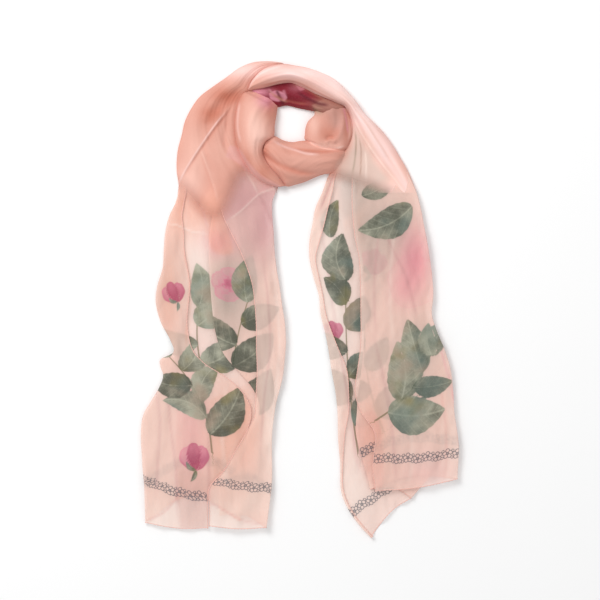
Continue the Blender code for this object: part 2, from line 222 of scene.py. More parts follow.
# Pressed lines of the tails on the grid, each a crease with a line painted along it: a painted
# highlight on a ridge, painted shade in a pleat.
LEFT_PLEAT = ((184, 240), (185, 256), (190, 280), (189, 304), (187, 330), (186, 352))
LEFT_PRESS = ((166, 224), (177, 225), (190, 231), (209, 234))
LEFT_FOLD = ((225, 222), (241, 211), (258, 195), (270, 190), (283, 188))
RIGHT_PLEAT = ((380, 220), (393, 250), (405, 275), (412, 298), (417, 321))
RIGHT_PRESS = ((318, 221), (328, 219), (343, 219))

# Creases on the grid: kind, depth in mm, reach in mm, painted shade of its crevice from 0 to 1,
# path.
# A lap raises the cloth on the left of its path and drops it at the line.
ARCH_CREASES = (
    ("lap", 2.6, 18, 0.34,
     ((175, 194), (182, 178), (195, 157), (213, 131), (227, 113), (238, 100))),
    ("lap", 2.2, 18, 0.19, ((199, 147), (203, 158), (209, 175), (214, 190), (218, 200))),
    ("trough", 3.4, 9, 0.41, ((246, 92), (236, 97), (224, 105), (212, 117))),
    ("trough", 1.8, 4, 0.19, ((236, 98), (230, 108), (227, 122), (225, 140), (228, 156))),
    ("ridge", 1.6, 6, 0.0, ((240, 100), (234, 112), (232, 128), (233, 146), (240, 162))),
    ("trough", 2.2, 4, 0.44, ((238, 132), (239, 145), (244, 157), (250, 167), (259, 177))),
    ("ridge", 1.8, 12, 0.0, ((186, 150), (194, 128), (206, 108), (224, 90), (246, 76), (270, 70))),
    ("trough", 1.2, 7, 0.08, ((200, 142), (206, 124), (220, 103), (240, 87), (256, 80))),
    ("ridge", 1.2, 3, 0.0, ((226, 157), (239, 166), (250, 180), (258, 192))),
    ("trough", 0.9, 5, 0.06, ((189, 166), (190, 182), (197, 199))),
)
OVER_CREASES = (
    ("trough", 1.6, 4, 0.17,
     ((254, 86), (268, 83), (284, 79), (298, 81), (311, 87), (328, 96), (345, 104))),
    ("trough", 2.0, 5, 0.12,
     ((286, 69), (301, 74), (315, 80), (328, 87), (342, 97), (355, 110), (364, 121))),
    ("ridge", 1.6, 5, 0.0,
     ((262, 79), (276, 74), (292, 75), (308, 81), (326, 91), (344, 103), (354, 114), (362, 128))),
    ("trough", 1.2, 4, 0.08, ((300, 68), (312, 72), (328, 77), (341, 85), (356, 98), (370, 116))),
    ("ridge", 1.0, 4, 0.0, ((318, 71), (334, 77), (350, 88), (364, 103), (378, 122))),
    ("trough", 1.5, 3, 0.09, ((352, 112), (358, 124), (364, 138), (370, 152))),
    ("lap", 3.0, 10, 0.10,
     ((349, 108), (356, 126), (366, 144), (380, 164), (398, 186), (410, 202))),
    ("trough", 1.2, 3, 0.05, ((366, 122), (380, 144), (396, 168), (410, 192))),
    ("ridge", 1.3, 4, 0.0, ((372, 118), (388, 140), (404, 166), (416, 192))),
    ("ridge", 1.2, 3.5, 0.0, ((282, 74), (300, 78), (318, 85), (336, 97))),
    ("lap", 2.0, 8, 0.19, ((356, 158), (354, 140), (350, 124), (346, 110))),
    ("trough", 1.4, 3, 0.17, ((350, 144), (347, 152), (344, 160))),
)
LEFT_ROLL_CREASES = (
    ("ridge", 1.4, 9, 0.0, ((256, 100), (252, 118), (252, 134), (257, 150), (266, 164))),
    ("trough", 1.6, 5, 0.17, ((270, 100), (272, 110), (272, 122))),
    ("trough", 1.0, 4, 0.11, ((243, 98), (242, 112), (243, 128), (247, 142), (253, 154))),
    ("trough", 1.6, 4, 0.19, ((262, 138), (259, 148), (262, 158), (270, 168), (280, 178))),
)
FRONT_CREASES = (
    ("lap", 3.4, 9, 0.39,
     ((344, 150), (331, 152.5), (319, 153), (304, 151.5), (292, 149), (280, 145), (269, 139))),
    ("trough", 4.4, 5, 0.47,
     ((263, 147), (266, 154), (273, 161), (283, 167), (294, 171), (306, 174), (319, 174),
      (328, 173))),
    ("ridge", 1.8, 8, 0.0,
     ((270, 148), (284, 156), (300, 161), (316, 163), (332, 161), (346, 156))),
    ("trough", 1.2, 5, 0.11, ((276, 172), (288, 180), (300, 183))),
)
RIGHT_ROLL_CREASES = (
    ("trough", 5.0, 12, 0.0, ((314, 98), (320, 114), (327, 130), (332, 144), (336, 158))),
    ("ridge", 2.0, 6, 0.0, ((309, 152), (307, 138), (306, 124), (310, 110), (318, 98))),
    ("ridge", 2.4, 5, 0.0, ((343, 106), (344, 116), (342, 128), (336, 140), (326, 148))),
    ("ridge", 2.4, 4, 0.0, ((306, 140), (313, 143.5), (323, 147.5), (334, 148.5), (344, 146))),
    ("trough", 2.6, 2.6, 0.41, ((308, 145), (318, 150), (330, 151.5), (342, 149))),
    ("ridge", 2.2, 3, 0.0, ((325, 145), (330, 140.5), (337, 143))),
    ("trough", 1.8, 2.6, 0.33, ((326, 141), (329, 137.5), (335, 138))),
    ("trough", 1.6, 2.4, 0.33, ((344, 106), (347, 118), (349, 130), (347, 142))),
    ("trough", 1.4, 4, 0.0, ((332, 96), (336, 110), (337, 124), (333, 138))),
)
BAND_CREASES = (
    ("trough", 2.2, 3.5, 0.41, ((266, 90), (276, 97), (286, 101), (300, 104), (312, 104))),
    ("ridge", 1.6, 4, 0.0, ((270, 88), (282, 93), (296, 97), (312, 98))),
    ("trough", 1.8, 3.5, 0.30, ((286, 84), (300, 88), (314, 95), (328, 101))),
    ("ridge", 1.4, 3, 0.0, ((250, 91), (262, 93), (270, 98))),
)
LEFT_TAIL_CREASES = (
    ("ridge", 1.3, 2.6, 0.0,
     ((226, 157), (240, 166), (251, 180), (258, 194), (266, 211), (273, 226), (275, 240))),
    ("ridge", 1.0, 2.0, 0.0, LEFT_FOLD),
    ("trough", 1.0, 4, 0.11, ((189, 160), (190, 182), (197, 199), (203, 212), (206, 230))),
    ("trough", 0.9, 4, 0.11, ((180, 192), (185, 207), (189, 216), (190, 232))),
    ("ridge", 0.9, 2.4, 0.0, LEFT_PRESS),
    ("trough", 1.2, 5, 0.11, LEFT_PLEAT),
    ("trough", 1.4, 4, 0.11, ((166, 372), (168, 392), (170, 412), (171, 440))),
    ("ridge", 1.0, 8, 0.0, ((176, 262), (172, 290), (170, 318), (175, 344))),
    ("trough", 0.8, 6, 0.06, ((228, 380), (232, 412), (226, 446), (222, 486))),
    ("ridge", 0.8, 6, 0.0, ((262, 250), (270, 290), (272, 340), (266, 400), (260, 460))),
    ("ridge", 0.9, 5, 0.0, ((190, 400), (193, 440), (192, 486))),
    ("trough", 0.8, 3, 0.06, ((191, 268), (199, 272), (208, 274))),
)
RIGHT_TAIL_CREASES = (
    ("trough", 1.2, 3, 0.14, ((336, 168), (332, 180), (327, 194), (321, 210))),
    ("ridge", 1.4, 3, 0.0, ((344, 154), (337, 174), (332, 190), (328, 206))),
    ("trough", 1.0, 3, 0.11, ((359, 146), (360, 160), (359, 180), (356, 204))),
    ("ridge", 1.0, 3, 0.0, ((365, 142), (367, 160), (368, 182))),
    ("trough", 1.0, 6, 0.08, RIGHT_PLEAT),
    ("ridge", 0.9, 7, 0.0, ((330, 240), (326, 270), (330, 300), (336, 330))),
    ("trough", 0.9, 6, 0.06, ((344, 300), (348, 330), (352, 360))),
    ("ridge", 0.8, 6, 0.0, ((400, 330), (410, 370), (414, 410), (412, 450))),
    ("trough", 0.9, 6, 0.06, ((392, 400), (396, 430), (398, 462), (396, 488))),
    ("ridge", 0.9, 2.4, 0.0, RIGHT_PRESS),
    ("trough", 0.8, 5, 0.06, ((432, 380), (438, 410), (440, 440), (436, 474))),
)


# ---------------------------------------------------------------- settings

def length_setting(name, description, default):
    """Setting for a length."""
    return FloatProperty(name=name, description=description, default=default, unit="LENGTH")


def light_setting(name, description, default):
    """Setting for the strength of a light."""
    return FloatProperty(name=name, description=description, default=default, min=0.0)


def colour_setting(name, description, default):
    """Setting for a linear colour."""
    return FloatVectorProperty(name=name, description=description, default=default,
                               subtype="COLOR", size=3)


class ScarfSizes(PropertyGroup):
    """Sizes of the cloth's details."""
    hem_radius: length_setting("Hem radius", "Radius of the rolled hem", 0.00040)
    stitch_pitch: length_setting("Stitch pitch", "From one hem stitch to the next", 0.0045)
    stitch_length: length_setting("Stitch length", "Length of one hem stitch", 0.0022)
    border_place: length_setting(
        "Border place", "Middle of the rosette border above the hem", 0.053)
    rosette_pitch: length_setting("Rosette pitch", "From one rosette to the next", 0.0138)
    crepe_scale: FloatProperty(
        name="Crepe scale", description="Grains of the crepe weave in a metre",
        default=1300.0)


class ScarfColours(PropertyGroup):
    """Colours of the cloth and its print, linear."""
    ground: colour_setting("Ground", "Peach ground of the tails", (0.93, 0.665, 0.575))
    ground_pale: colour_setting("Pale ground", "Cloudy part of the ground", (0.92, 0.70, 0.60))
    gathered: colour_setting("Gathered", "Peach of the gathered ring", (0.585, 0.275, 0.212))
    gathered_pale: colour_setting(
        "Pale gathered", "Cloudy part of the gathered ring", (0.78, 0.46, 0.38))
    deep: colour_setting("Deep print", "Magenta of the inner band", (0.185, 0.009, 0.020))
    deep_pale: colour_setting(
        "Pale deep print", "Cloudy part of the inner band", (0.24, 0.018, 0.04))
    # Painted shade: colour laid into the cloth's crevices, crease troughs and the feet of its
    # rolls.
    crevice_shade: colour_setting(
        "Crevice", "Deep peach between the layers", (0.46, 0.145, 0.095))
    leaf_dark: colour_setting("Dark leaf", "Darkest green of the leaves", (0.055, 0.075, 0.050))
    leaf_pale: colour_setting("Pale leaf", "Palest green of the leaves", (0.40, 0.41, 0.31))
    leaf_olive: colour_setting("Olive leaf", "Olive part of the leaves", (0.21, 0.18, 0.05))
    leaf_teal: colour_setting("Teal leaf", "Blue green part of the leaves", (0.09, 0.17, 0.15))
    leaf_brown: colour_setting("Brown leaf", "Brown part of the leaves", (0.30, 0.20, 0.14))
    stem: colour_setting("Stem", "Brown green of the stems", (0.20, 0.16, 0.08))
    petal: colour_setting("Petal", "Pink of the petals", (0.74, 0.24, 0.33))
    petal_deep: colour_setting("Deep petal", "Deep pink at the heart of a bud", (0.42, 0.05, 0.12))
    ink: colour_setting("Ink", "Line of the rosette border", (0.06, 0.075, 0.10))
    hem: colour_setting("Hem", "Thread and roll of the hem", (0.84, 0.50, 0.43))
    hem_pale: colour_setting("Pale hem", "Pale twist of the hem's thread", (0.86, 0.50, 0.42))


class StageSettings(PropertyGroup):
    """Floor, light and camera."""
    camera_height: length_setting("Camera height", "Height of the camera", 6.0)
    field: length_setting("Field", "Width of floor that the camera sees", 0.84)
    floor_size: length_setting("Floor size", "Side of the floor", 8.0)
    floor_paint: colour_setting("Floor paint", "Paint of the floor", (0.93, 0.93, 0.93))
    floor_cloud: colour_setting("Floor cloud", "Cloudy part of the floor", (0.90, 0.90, 0.90))
    sky: light_setting("Sky", "Strength of the even light from all sides", 0.64)
    key: light_setting("Key light", "Power of the key light in watts", 38.5)
    fill: light_setting("Fill light", "Power of the fill light in watts", 12.0)


# ---------------------------------------------------------------- plan and relief

def on_grid(points):
    """Points of the layout grid as metres of the frame."""
    grid = np.asarray(points, float)
    plan = (grid - GRID_MIDDLE) * (GRID, -GRID)
    return plan * MM + PLAN_SHIFT


def curve(points, steps):
    """Catmull-Rom curve through rows of numbers, with steps between two rows."""
    rows = np.asarray(points, float)
    rows = np.vstack((2 * rows[0] - rows[1], rows, 2 * rows[-1] - rows[-2]))
    made = []
    for i in range(1, len(rows) - 2):
        before, start, end, after = rows[i - 1:i + 3]
        for t in np.arange(steps) / steps:
            made.append(0.5 * (2 * start + (end - before) * t
                               + (2 * before - 5 * start + 4 * end - after) * t * t
                               + (3 * start - before - 3 * end + after) * t ** 3))
    made.append(rows[-2])
    return np.array(made)


def along_path(points, path):
    """Signed distance to a path in metres, left of it above 0, and the share of its length."""
    stations = curve(path, PATH_STEPS)
    lengths = np.hypot(*(stations[1:] - stations[:-1]).T)
    total = lengths.sum()
    near = np.full(len(points), 9.0)
    signed = np.full(len(points), 9.0)
    share = np.zeros(len(points))
    run = 0.0
    for start, end, length in zip(stations, stations[1:], lengths):
        step = (end - start) / length
        offset = points - start
        t = np.clip(offset @ step, 0, length)
        away = offset - t[:, None] * step
        distance = np.hypot(away[:, 0], away[:, 1])
        side = np.sign(step[0] * offset[:, 1] - step[1] * offset[:, 0])
        closer = distance < near
        near[closer] = distance[closer]
        signed[closer] = (distance * side)[closer]
        share[closer] = ((run + t) / total)[closer]
        run += length
    return signed, share


WAVE_COUNT = 9               # waves in one ripple
CREASE_FADE = 0.22           # share of a crease's length over which each end fades
LAP_EDGE = 1.1               # mm, half width of the step at a lap's line
LAP_FOOT = 6.0               # mm, reach of the dip below that line
LAP_DIP = 0.35               # share of the lap's depth that it dips
LAP_SHADE = (1.6, 2.6)       # mm, from the line to the middle of the painted shade below it, and its reach


def eased(share):
    """Share held between 0 and 1, with soft ends."""
    share = np.clip(share, 0, 1)
    return share * share * (3 - 2 * share)


def relief(points, creases):
    """Height added by creases, in metres, and the painted shade of their crevices from 0 to 1."""
    height = np.zeros(len(points))
    crevice_shade = np.zeros(len(points))
    for kind, depth, reach, colour, path in creases:
        away, share = along_path(points, on_grid(path))
        taper = eased(np.minimum(share, 1 - share) / CREASE_FADE)
        reach = reach * MM
        bell = np.exp(-(away / reach) ** 2)
        if kind == "ridge":
            height += depth * MM * bell * taper
        elif kind == "trough":
            height -= depth * MM * bell * taper
            crevice_shade = np.maximum(crevice_shade, colour * taper * np.exp(-(away / (0.8 * reach)) ** 2))
        else:
            lap = 0.5 + 0.5 * np.tanh(away / (LAP_EDGE * MM))
            side = np.exp(-np.abs(away) / reach)
            dip = np.exp(-np.abs(away) / (LAP_FOOT * MM))
            below, wide = LAP_SHADE
            height += depth * MM * lap * side * taper
            height -= LAP_DIP * depth * MM * (1 - lap) * dip * taper
            shade = np.exp(-((away + below * MM) / (wide * MM)) ** 2)
            crevice_shade = np.maximum(crevice_shade, colour * taper * shade)
    return height, crevice_shade


def waves(points, seed, size, stretch):
    """Soft random relief between 0 and 1, longer along Y than across."""
    rng = np.random.default_rng(seed)
    total = np.zeros(len(points))
    for _ in range(WAVE_COUNT):
        length = size * rng.uniform(0.7, 1.8)
        tilt = rng.normal(0, 0.22)
        across = points[:, 0] * math.cos(tilt) + points[:, 1] * math.sin(tilt)
        along = points[:, 1] * math.cos(tilt) - points[:, 0] * math.sin(tilt)
        total += (np.sin(across * math.tau / length + rng.uniform(0, 6.3))
                  * np.sin(along * math.tau / (length * stretch) + rng.uniform(0, 6.3)))
    return np.clip(0.5 + total / 6.0, 0, 1)


# ---------------------------------------------------------------- print

# Print on the grid, for each layer of the tails from the top panel on.
# spray: base x, y, heading in degrees, length, bend, leaves, leaf length, tone, seed.
# leaf and petal: base x, y, heading, length, width, bend, tone.
# bud: x, y, heading, size, tone. bloom: x, y, size, tone, seed.
LEFT_PRINT = {
    1: (
        ("bloom", 228, 284, 17, 0.10, 4),
        ("spray", 234, 430, 84, 128, 0.10, 6, 58, 0.06, 11),
    ),
    4: (
        ("spray", 212, 452, 114, 104, -0.16, 6, 52, 0.26, 5),
        ("bud", 196, 470, 96, 28, 0.50),
        ("bud", 178, 302, 114, 22, 0.62),
    ),
    3: (
        ("spray", 204, 376, 94, 70, 0.10, 4, 50, 0.30, 21),
        ("bud", 262, 350, 100, 16, 0.60),
    ),
}
RIGHT_PRINT = {
    0: (
        ("petal", 400, 306, 58, 54, 50, 0.05, -0.30),
        ("leaf", 412, 206, 204, 60, 31, 0.12, 0.30),
        ("leaf", 362, 196, 34, 40, 19, -0.10, 0.25),
        ("spray", 376, 420, 50, 84, -0.14, 5, 58, 0.34, 33),
        ("leaf", 432, 356, 96, 34, 17, 0.10, 0.55),
    ),
    3: (
        ("spray", 358, 452, 94, 172, 0.04, 7, 50, 0.04, 14),
        ("leaf", 330, 238, 78, 40, 18, 0.10, 0.12),
        ("bud", 334, 340, 98, 20, 0.55),
    ),
    1: (
        ("spray", 384, 432, 100, 110, 0.10, 5, 50, 0.12, 7),
        ("bud", 370, 274, 76, 26, 0.75),
    ),
}
# Colours of the washes, linear. Some are laid as painted highlights and painted shade, others as
# tone of the cloth.
WASHES = {
    "pink": (0.90, 0.34, 0.40), "peach": (0.90, 0.43, 0.30), "grey": (0.44, 0.38, 0.33),
    "cream": (0.97, 0.80, 0.71), "mauve": (0.66, 0.35, 0.35), "bloom": (0.92, 0.68, 0.65),
    "pale": (0.78, 0.49, 0.41), "clay": (0.44, 0.130, 0.078), "tan": (0.38, 0.170, 0.130),
    "magenta": (0.34, 0.030, 0.060), "orchid": (0.66, 0.27, 0.34), "umber": (0.30, 0.16, 0.11),
    "olive": (0.20, 0.17, 0.10), "rosy": (0.84, 0.42, 0.37), "wine": (0.10, 0.008, 0.016),
    "stone": (0.56, 0.46, 0.40), "shell": (0.90, 0.60, 0.52),
}
# Soft washes of the ground on the grid: x, y, reach across and along, strength, colour.
LEFT_WASHES = (
    (194, 210, 26, 26, 0.80, "peach"), (168, 284, 16, 44, 0.30, "peach"),
    (168, 284, 18, 40, 0.35, "stone"), (262, 232, 18, 30, 0.75, "mauve"),
    (192, 506, 13, 24, 0.75, "pale"), (192, 506, 14, 26, 0.35, "grey"),
    (246, 412, 16, 30, 0.45, "peach"), (246, 205, 30, 34, 0.72, "mauve"),
    (246, 250, 26, 30, 0.30, "mauve"), (268, 205, 10, 34, 0.35, "orchid"),
    (196, 200, 16, 40, 0.45, "peach"), (218, 244, 16, 14, 0.60, "pink"),
    (230, 292, 24, 38, 0.70, "grey"), (198, 262, 12, 24, 0.60, "cream"),
    (230, 440, 30, 40, 0.38, "peach"), (192, 430, 14, 60, 0.30, "pink"),
    (168, 300, 10, 60, 0.35, "peach"), (158, 515, 14, 16, 0.40, "cream"),
    (226, 514, 22, 12, 0.40, "cream"), (270, 420, 12, 60, 0.60, "cream"),
    (250, 500, 22, 14, 0.35, "cream"),
)
RIGHT_WASHES = (
    (432, 466, 26, 20, 0.35, "cream"), (346, 330, 12, 40, 0.30, "cream"),
    (350, 222, 14, 16, 0.40, "peach"), (352, 226, 18, 22, 0.30, "stone"),
    (330, 196, 12, 18, 0.40, "pale"), (366, 156, 12, 24, 0.40, "stone"),
    (372, 268, 14, 34, 0.30, "stone"), (352, 168, 12, 26, 0.65, "grey"),
    (414, 258, 17, 32, 0.85, "pink"), (404, 288, 14, 18, 0.40, "pink"),
    (372, 436, 16, 40, 0.55, "peach"), (332, 290, 18, 70, 0.55, "cream"),
    (352, 490, 20, 40, 0.55, "cream"), (392, 232, 26, 36, 0.40, "grey"),
    (430, 470, 30, 20, 0.20, "pink"), (366, 220, 18, 40, 0.30, "grey"),
    (420, 350, 28, 30, 0.30, "grey"), (378, 160, 12, 20, 0.50, "bloom"),
)
# Mostly painted light and shade: bloom, shell, cream and pale are painted highlights, clay, tan
# and olive painted shade.
RING_WASHES = (
    (328, 130, 12, 10, 0.40, "clay"), (336, 116, 9, 15, 0.85, "tan"),
    (313, 120, 6, 12, 0.40, "pale"), (326, 146, 14, 4, 0.45, "pale"),
    (186, 184, 16, 20, 0.50, "shell"), (212, 206, 12, 16, 0.30, "peach"),
    (352, 96, 16, 8, 0.60, "cream"), (240, 70, 34, 9, 0.55, "bloom"),
    (196, 150, 14, 36, 0.45, "pale"), (226, 97, 15, 8, 0.95, "clay"),
    (211, 114, 11, 9, 0.75, "clay"), (238, 140, 5, 22, 0.50, "clay"),
    (246, 160, 7, 12, 0.75, "clay"), (225, 150, 14, 22, 0.25, "pale"),
    (204, 122, 12, 18, 0.25, "clay"), (300, 74, 34, 8, 0.85, "bloom"),
    (338, 84, 26, 18, 0.85, "bloom"), (364, 112, 22, 26, 0.75, "bloom"),
    (384, 150, 20, 28, 0.60, "bloom"), (352, 168, 10, 18, 0.50, "grey"),
    (366, 152, 9, 22, 0.45, "stone"), (388, 184, 26, 20, 0.90, "shell"),
    (404, 204, 22, 18, 0.90, "bloom"), (368, 148, 12, 24, 0.50, "pale"),
    (384, 174, 14, 12, 0.30, "pale"), (254, 128, 11, 24, 0.80, "pale"),
    (271, 106, 8, 14, 0.70, "clay"), (261, 138, 8, 14, 0.40, "shell"),
    (266, 101, 9, 8, 0.80, "orchid"), (271, 103, 4, 5, 0.40, "magenta"),
    (262, 172, 9, 10, 0.55, "clay"), (338, 112, 12, 12, 0.75, "tan"),
    (330, 134, 11, 6, 0.50, "clay"), (346, 130, 4, 20, 0.70, "clay"),
    (318, 108, 6, 6, 0.85, "olive"), (314, 128, 6, 10, 0.35, "pale"),
    (296, 178, 22, 7, 0.40, "tan"), (306, 160, 26, 6, 0.15, "pale"),
    (265, 152, 5, 9, 0.85, "clay"), (312, 152, 20, 3, 0.45, "clay"),
    (344, 160, 6, 12, 0.45, "clay"), (280, 142, 10, 3, 0.40, "tan"),
)
# The tan and olive washes are painted shade where the band runs under the right roll.
BAND_WASHES = (
    (257, 92, 12, 6, 0.95, "orchid"), (298, 88, 8, 4, 0.40, "orchid"),
    (326, 104, 14, 7, 0.90, "tan"), (338, 106, 9, 8, 0.90, "tan"), (318, 109, 4, 4, 0.95, "olive"),
    (308, 96, 10, 6, 0.30, "magenta"),
)

# Stretches of another tone, where more layers lie below: strength, softness in mm, colour and
# outline on the grid.
LEFT_PATCHES = (
    (0.50, 1.4, "mauve",
     ((226, 157), (240, 165), (251, 180), (259, 194), (271, 190), (283, 188), (280, 214),
      (276, 246), (272, 226), (263, 206), (240, 212), (225, 222), (217, 200), (212, 180))),
    (0.10, 1.4, "cream",
     ((225, 222), (241, 211), (258, 196), (271, 190), (284, 188), (281, 240), (284, 300),
      (262, 296), (248, 262), (236, 240))),
    (0.40, 2.5, "peach",
     ((197, 150), (206, 166), (214, 192), (225, 222), (233, 252), (214, 252), (206, 232),
      (198, 200), (190, 168))),
    (0.24, 2.0, "rosy", ((178, 380), (206, 392), (209, 460), (208, 527), (180, 525), (176, 470))),
    (0.22, 2.0, "peach", ((209, 400), (250, 384), (256, 398), (236, 440), (211, 490))),
    (0.40, 1.0, "cream", ((144, 522), (157, 516), (167, 510), (176, 498), (179, 530), (144, 530))),
    (0.35, 1.0, "cream",
     ((209, 504), (219, 508), (232, 516), (245, 521), (266, 525), (264, 532), (209, 530))),
    (0.40, 3.0, "pale", ((178, 470), (208, 476), (208, 528), (180, 527))),
)
RIGHT_PATCHES = (
    (0.40, 5.0, "stone",
     ((341, 160), (352, 140), (362, 146), (372, 160), (368, 196), (356, 214), (343, 216),
      (340, 190))),
    (0.35, 2.0, "cream",
     ((312, 222), (334, 208), (344, 222), (340, 280), (346, 360), (338, 440), (322, 380),
      (312, 300))),
    (0.26, 2.0, "rosy", ((352, 424), (372, 410), (382, 440), (382, 488), (366, 478), (354, 456))),
    (0.25, 1.6, "cream", ((444, 404), (458, 420), (461, 480), (448, 486), (440, 440))),
)
# The bloom patch is a painted highlight along the over band's lap; the clay patch is painted shade
# in the arch's hollow.
RING_PATCHES = (
    (0.60, 6.0, "stone",
     ((351, 146), (354, 128), (359, 136), (367, 150), (378, 166), (388, 180), (370, 186),
      (345, 190), (338, 168), (345, 156))),
    (0.50, 2.0, "bloom",
     ((352, 106), (360, 124), (374, 146), (392, 172), (410, 194), (404, 176), (390, 152),
      (376, 130), (362, 112))),
    (0.42, 1.6, "mauve",
     ((226, 157), (240, 165), (251, 180), (259, 194), (271, 190), (283, 188), (262, 176),
      (250, 164), (240, 150), (230, 146))),
    (0.30, 3.0, "clay",
     ((243, 86), (234, 92), (216, 102), (204, 122), (214, 122), (226, 110), (240, 99))),
)

# Mostly painted highlights on the ridges and laps of creases and painted shade in their troughs.
# Pressed lines and lit edges on the grid: width in mm, strength, colour, path.
LEFT_LINES = (
    (1.1, 0.45, "cream", LEFT_FOLD),
    (1.2, 0.50, "cream", LEFT_PRESS),
    (1.3, 0.35, "cream", ((226, 157), (240, 166), (251, 180), (258, 194))),
    (1.8, 0.45, "mauve", ((258, 194), (266, 211), (273, 226), (276, 246))),
    (2.2, 0.40, "peach", LEFT_PLEAT),
    (2.0, 0.40, "mauve", ((190, 166), (193, 182), (199, 199), (204, 214), (209, 234))),
    (1.6, 0.45, "mauve", ((208, 428), (209, 460), (209, 500), (208, 526))),
    (1.8, 0.35, "mauve", ((167, 374), (168, 392), (171, 430), (176, 470), (177, 520))),
    (1.4, 0.35, "cream", ((209, 234), (208, 275), (211, 300), (216, 334))),
    (1.7, 0.45, "rosy", ((144, 522), (157, 516), (167, 510), (176, 498), (180, 490))),
    (1.7, 0.45, "rosy", ((204, 500), (219, 507), (232, 515), (245, 521), (268, 525))),
    (2.0, 0.35, "mauve", ((150, 366), (156, 392), (160, 420), (158, 460), (156, 500))),
    (2.4, 0.35, "cream", ((228, 380), (222, 420), (224, 460), (230, 500))),
    (2.0, 0.30, "mauve", ((262, 250), (268, 300), (270, 350), (264, 400), (260, 460))),
    (2.6, 0.35, "cream", ((272, 260), (278, 310), (279, 360), (272, 420), (268, 480))),
)
RIGHT_LINES = (
    (1.6, 0.65, "cream", RIGHT_PRESS),
    (1.8, 0.45, "cream", ((344, 154), (337, 174), (332, 190), (327, 208))),
    (1.6, 0.50, "mauve", ((336, 168), (331, 182), (325, 198), (319, 212))),
    (1.6, 0.40, "umber", ((357, 148), (358, 162), (357, 180))),
    (1.6, 0.30, "umber", ((361, 146), (362, 160), (361, 176))),
    (2.0, 0.40, "mauve", RIGHT_PLEAT),
    (2.0, 0.40, "mauve", ((320, 216), (326, 260), (335, 320), (345, 380), (354, 440), (360, 480))),
    (2.6, 0.45, "cream", ((330, 214), (333, 260), (338, 310), (344, 350))),
    (2.4, 0.35, "cream", ((398, 206), (392, 250), (390, 300), (394, 350))),
    (2.2, 0.30, "mauve", ((386, 200), (378, 240), (374, 290), (376, 340))),
    (2.4, 0.35, "cream", ((404, 380), (410, 420), (412, 460), (408, 488))),
    (2.2, 0.35, "mauve", ((372, 330), (384, 380), (392, 430), (396, 486))),
    (2.0, 0.35, "rosy", ((436, 372), (444, 410), (446, 450), (444, 486))),
    (1.6, 0.45, "pink", ((431, 318), (441, 350), (453, 395), (458, 430), (460, 455))),
)
# Painted highlights (bloom, shell, cream, pale) along laps and lips, painted shade (clay, orchid,
# olive, umber) below them.
RING_LINES = (
    (1.2, 0.45, "bloom", ((176, 192), (182, 176.5), (195, 155), (212.5, 129), (226, 112))),
    (1.2, 0.30, "pale", ((200, 148), (204, 158), (210, 175), (215, 190), (219, 204))),
    (1.8, 0.40, "bloom", ((248, 91), (252, 83), (260, 75), (272, 69.5), (284, 67))),
    (1.6, 0.30, "bloom", ((240, 102), (238, 116), (238, 130), (241, 144))),
    (1.8, 0.40, "bloom", ((272, 140), (282, 146), (294, 150), (306, 154), (320, 155))),
    (1.6, 0.80, "shell", ((306, 140), (314, 144.5), (324, 148), (335, 149), (345, 146))),
    (1.4, 0.60, "clay", ((347, 108), (350, 122), (351, 136), (347, 147))),
    (1.2, 0.60, "orchid", ((343, 106), (346, 120), (348, 134))),
    (1.6, 0.45, "pale", ((262, 84), (276, 81), (292, 80), (306, 84), (322, 92), (340, 101))),
    (1.2, 0.55, "clay",
     ((256, 87.5), (270, 84.5), (284, 81.5), (297, 83), (310, 89), (328, 98), (345, 106))),
    (1.2, 0.55, "olive", ((355, 130), (356, 142), (355, 158), (352, 176))),
    (1.0, 0.60, "umber", ((359, 138), (361, 152), (360, 180))),
    (1.2, 0.35, "cream", ((365, 150), (366, 164), (366, 182))),
    (1.4, 0.25, "cream", ((351, 108), (356, 124), (366, 142), (380, 162), (398, 184), (412, 204))),
    (1.4, 0.50, "pale",
     ((287, 69), (301, 74), (315, 80), (328, 87), (342, 97), (355, 110), (366, 124), (382, 148),
      (398, 172))),
    (1.4, 0.45, "bloom",
     ((292, 72), (308, 77), (324, 85), (338, 94), (350, 105), (362, 121), (378, 146),
      (394, 172))),
)
# The tan patch is painted shade where the band runs under the right roll; the orchid ones are tone
# of its print.
BAND_PATCHES = (
    (0.70, 0.8, "orchid", ((269, 94), (276, 91), (284, 94), (287, 99), (279, 102), (271, 100))),
    (0.60, 0.8, "orchid", ((296, 86), (301, 85), (305, 89), (300, 91))),
    (0.80, 1.0, "tan", ((312, 106), (324, 100), (336, 103), (344, 108), (336, 113), (320, 112))),
)
# The umber lines are painted shade along the band's troughs.
BAND_LINES = (
    (2.4, 0.85, "wine", ((276, 90), (280, 98), (284, 106))),
    (2.6, 0.75, "wine", ((296, 92), (306, 98), (318, 104), (330, 106))),
    (2.0, 0.60, "magenta", ((290, 82), (304, 86), (320, 94), (336, 102))),
    (1.4, 0.70, "umber", ((268, 90), (278, 98), (288, 103))),
    (1.2, 0.60, "umber", ((292, 84), (304, 88), (318, 96), (330, 103))),
    (2.0, 0.50, "orchid", ((283, 90), (285, 96), (284, 102))),
    (1.4, 0.40, "orchid", ((268, 88), (272, 93), (278, 96))),
)


LINE_FADE = 0.15             # share of a line's length over which each end fades
NO_MOTIF = 20                # mm, edge distance where no motif is near
OVERLAP = 0.6                # mm round a motif that it covers of those before it
# Leaf and petal: how slowly each swells and closes, depth and number of the ripples of its edge.
BLADE_FORMS = {"leaf": (0.62, 0.95, 0.020, 46), "petal": (0.55, 0.42, 0.06, 11)}


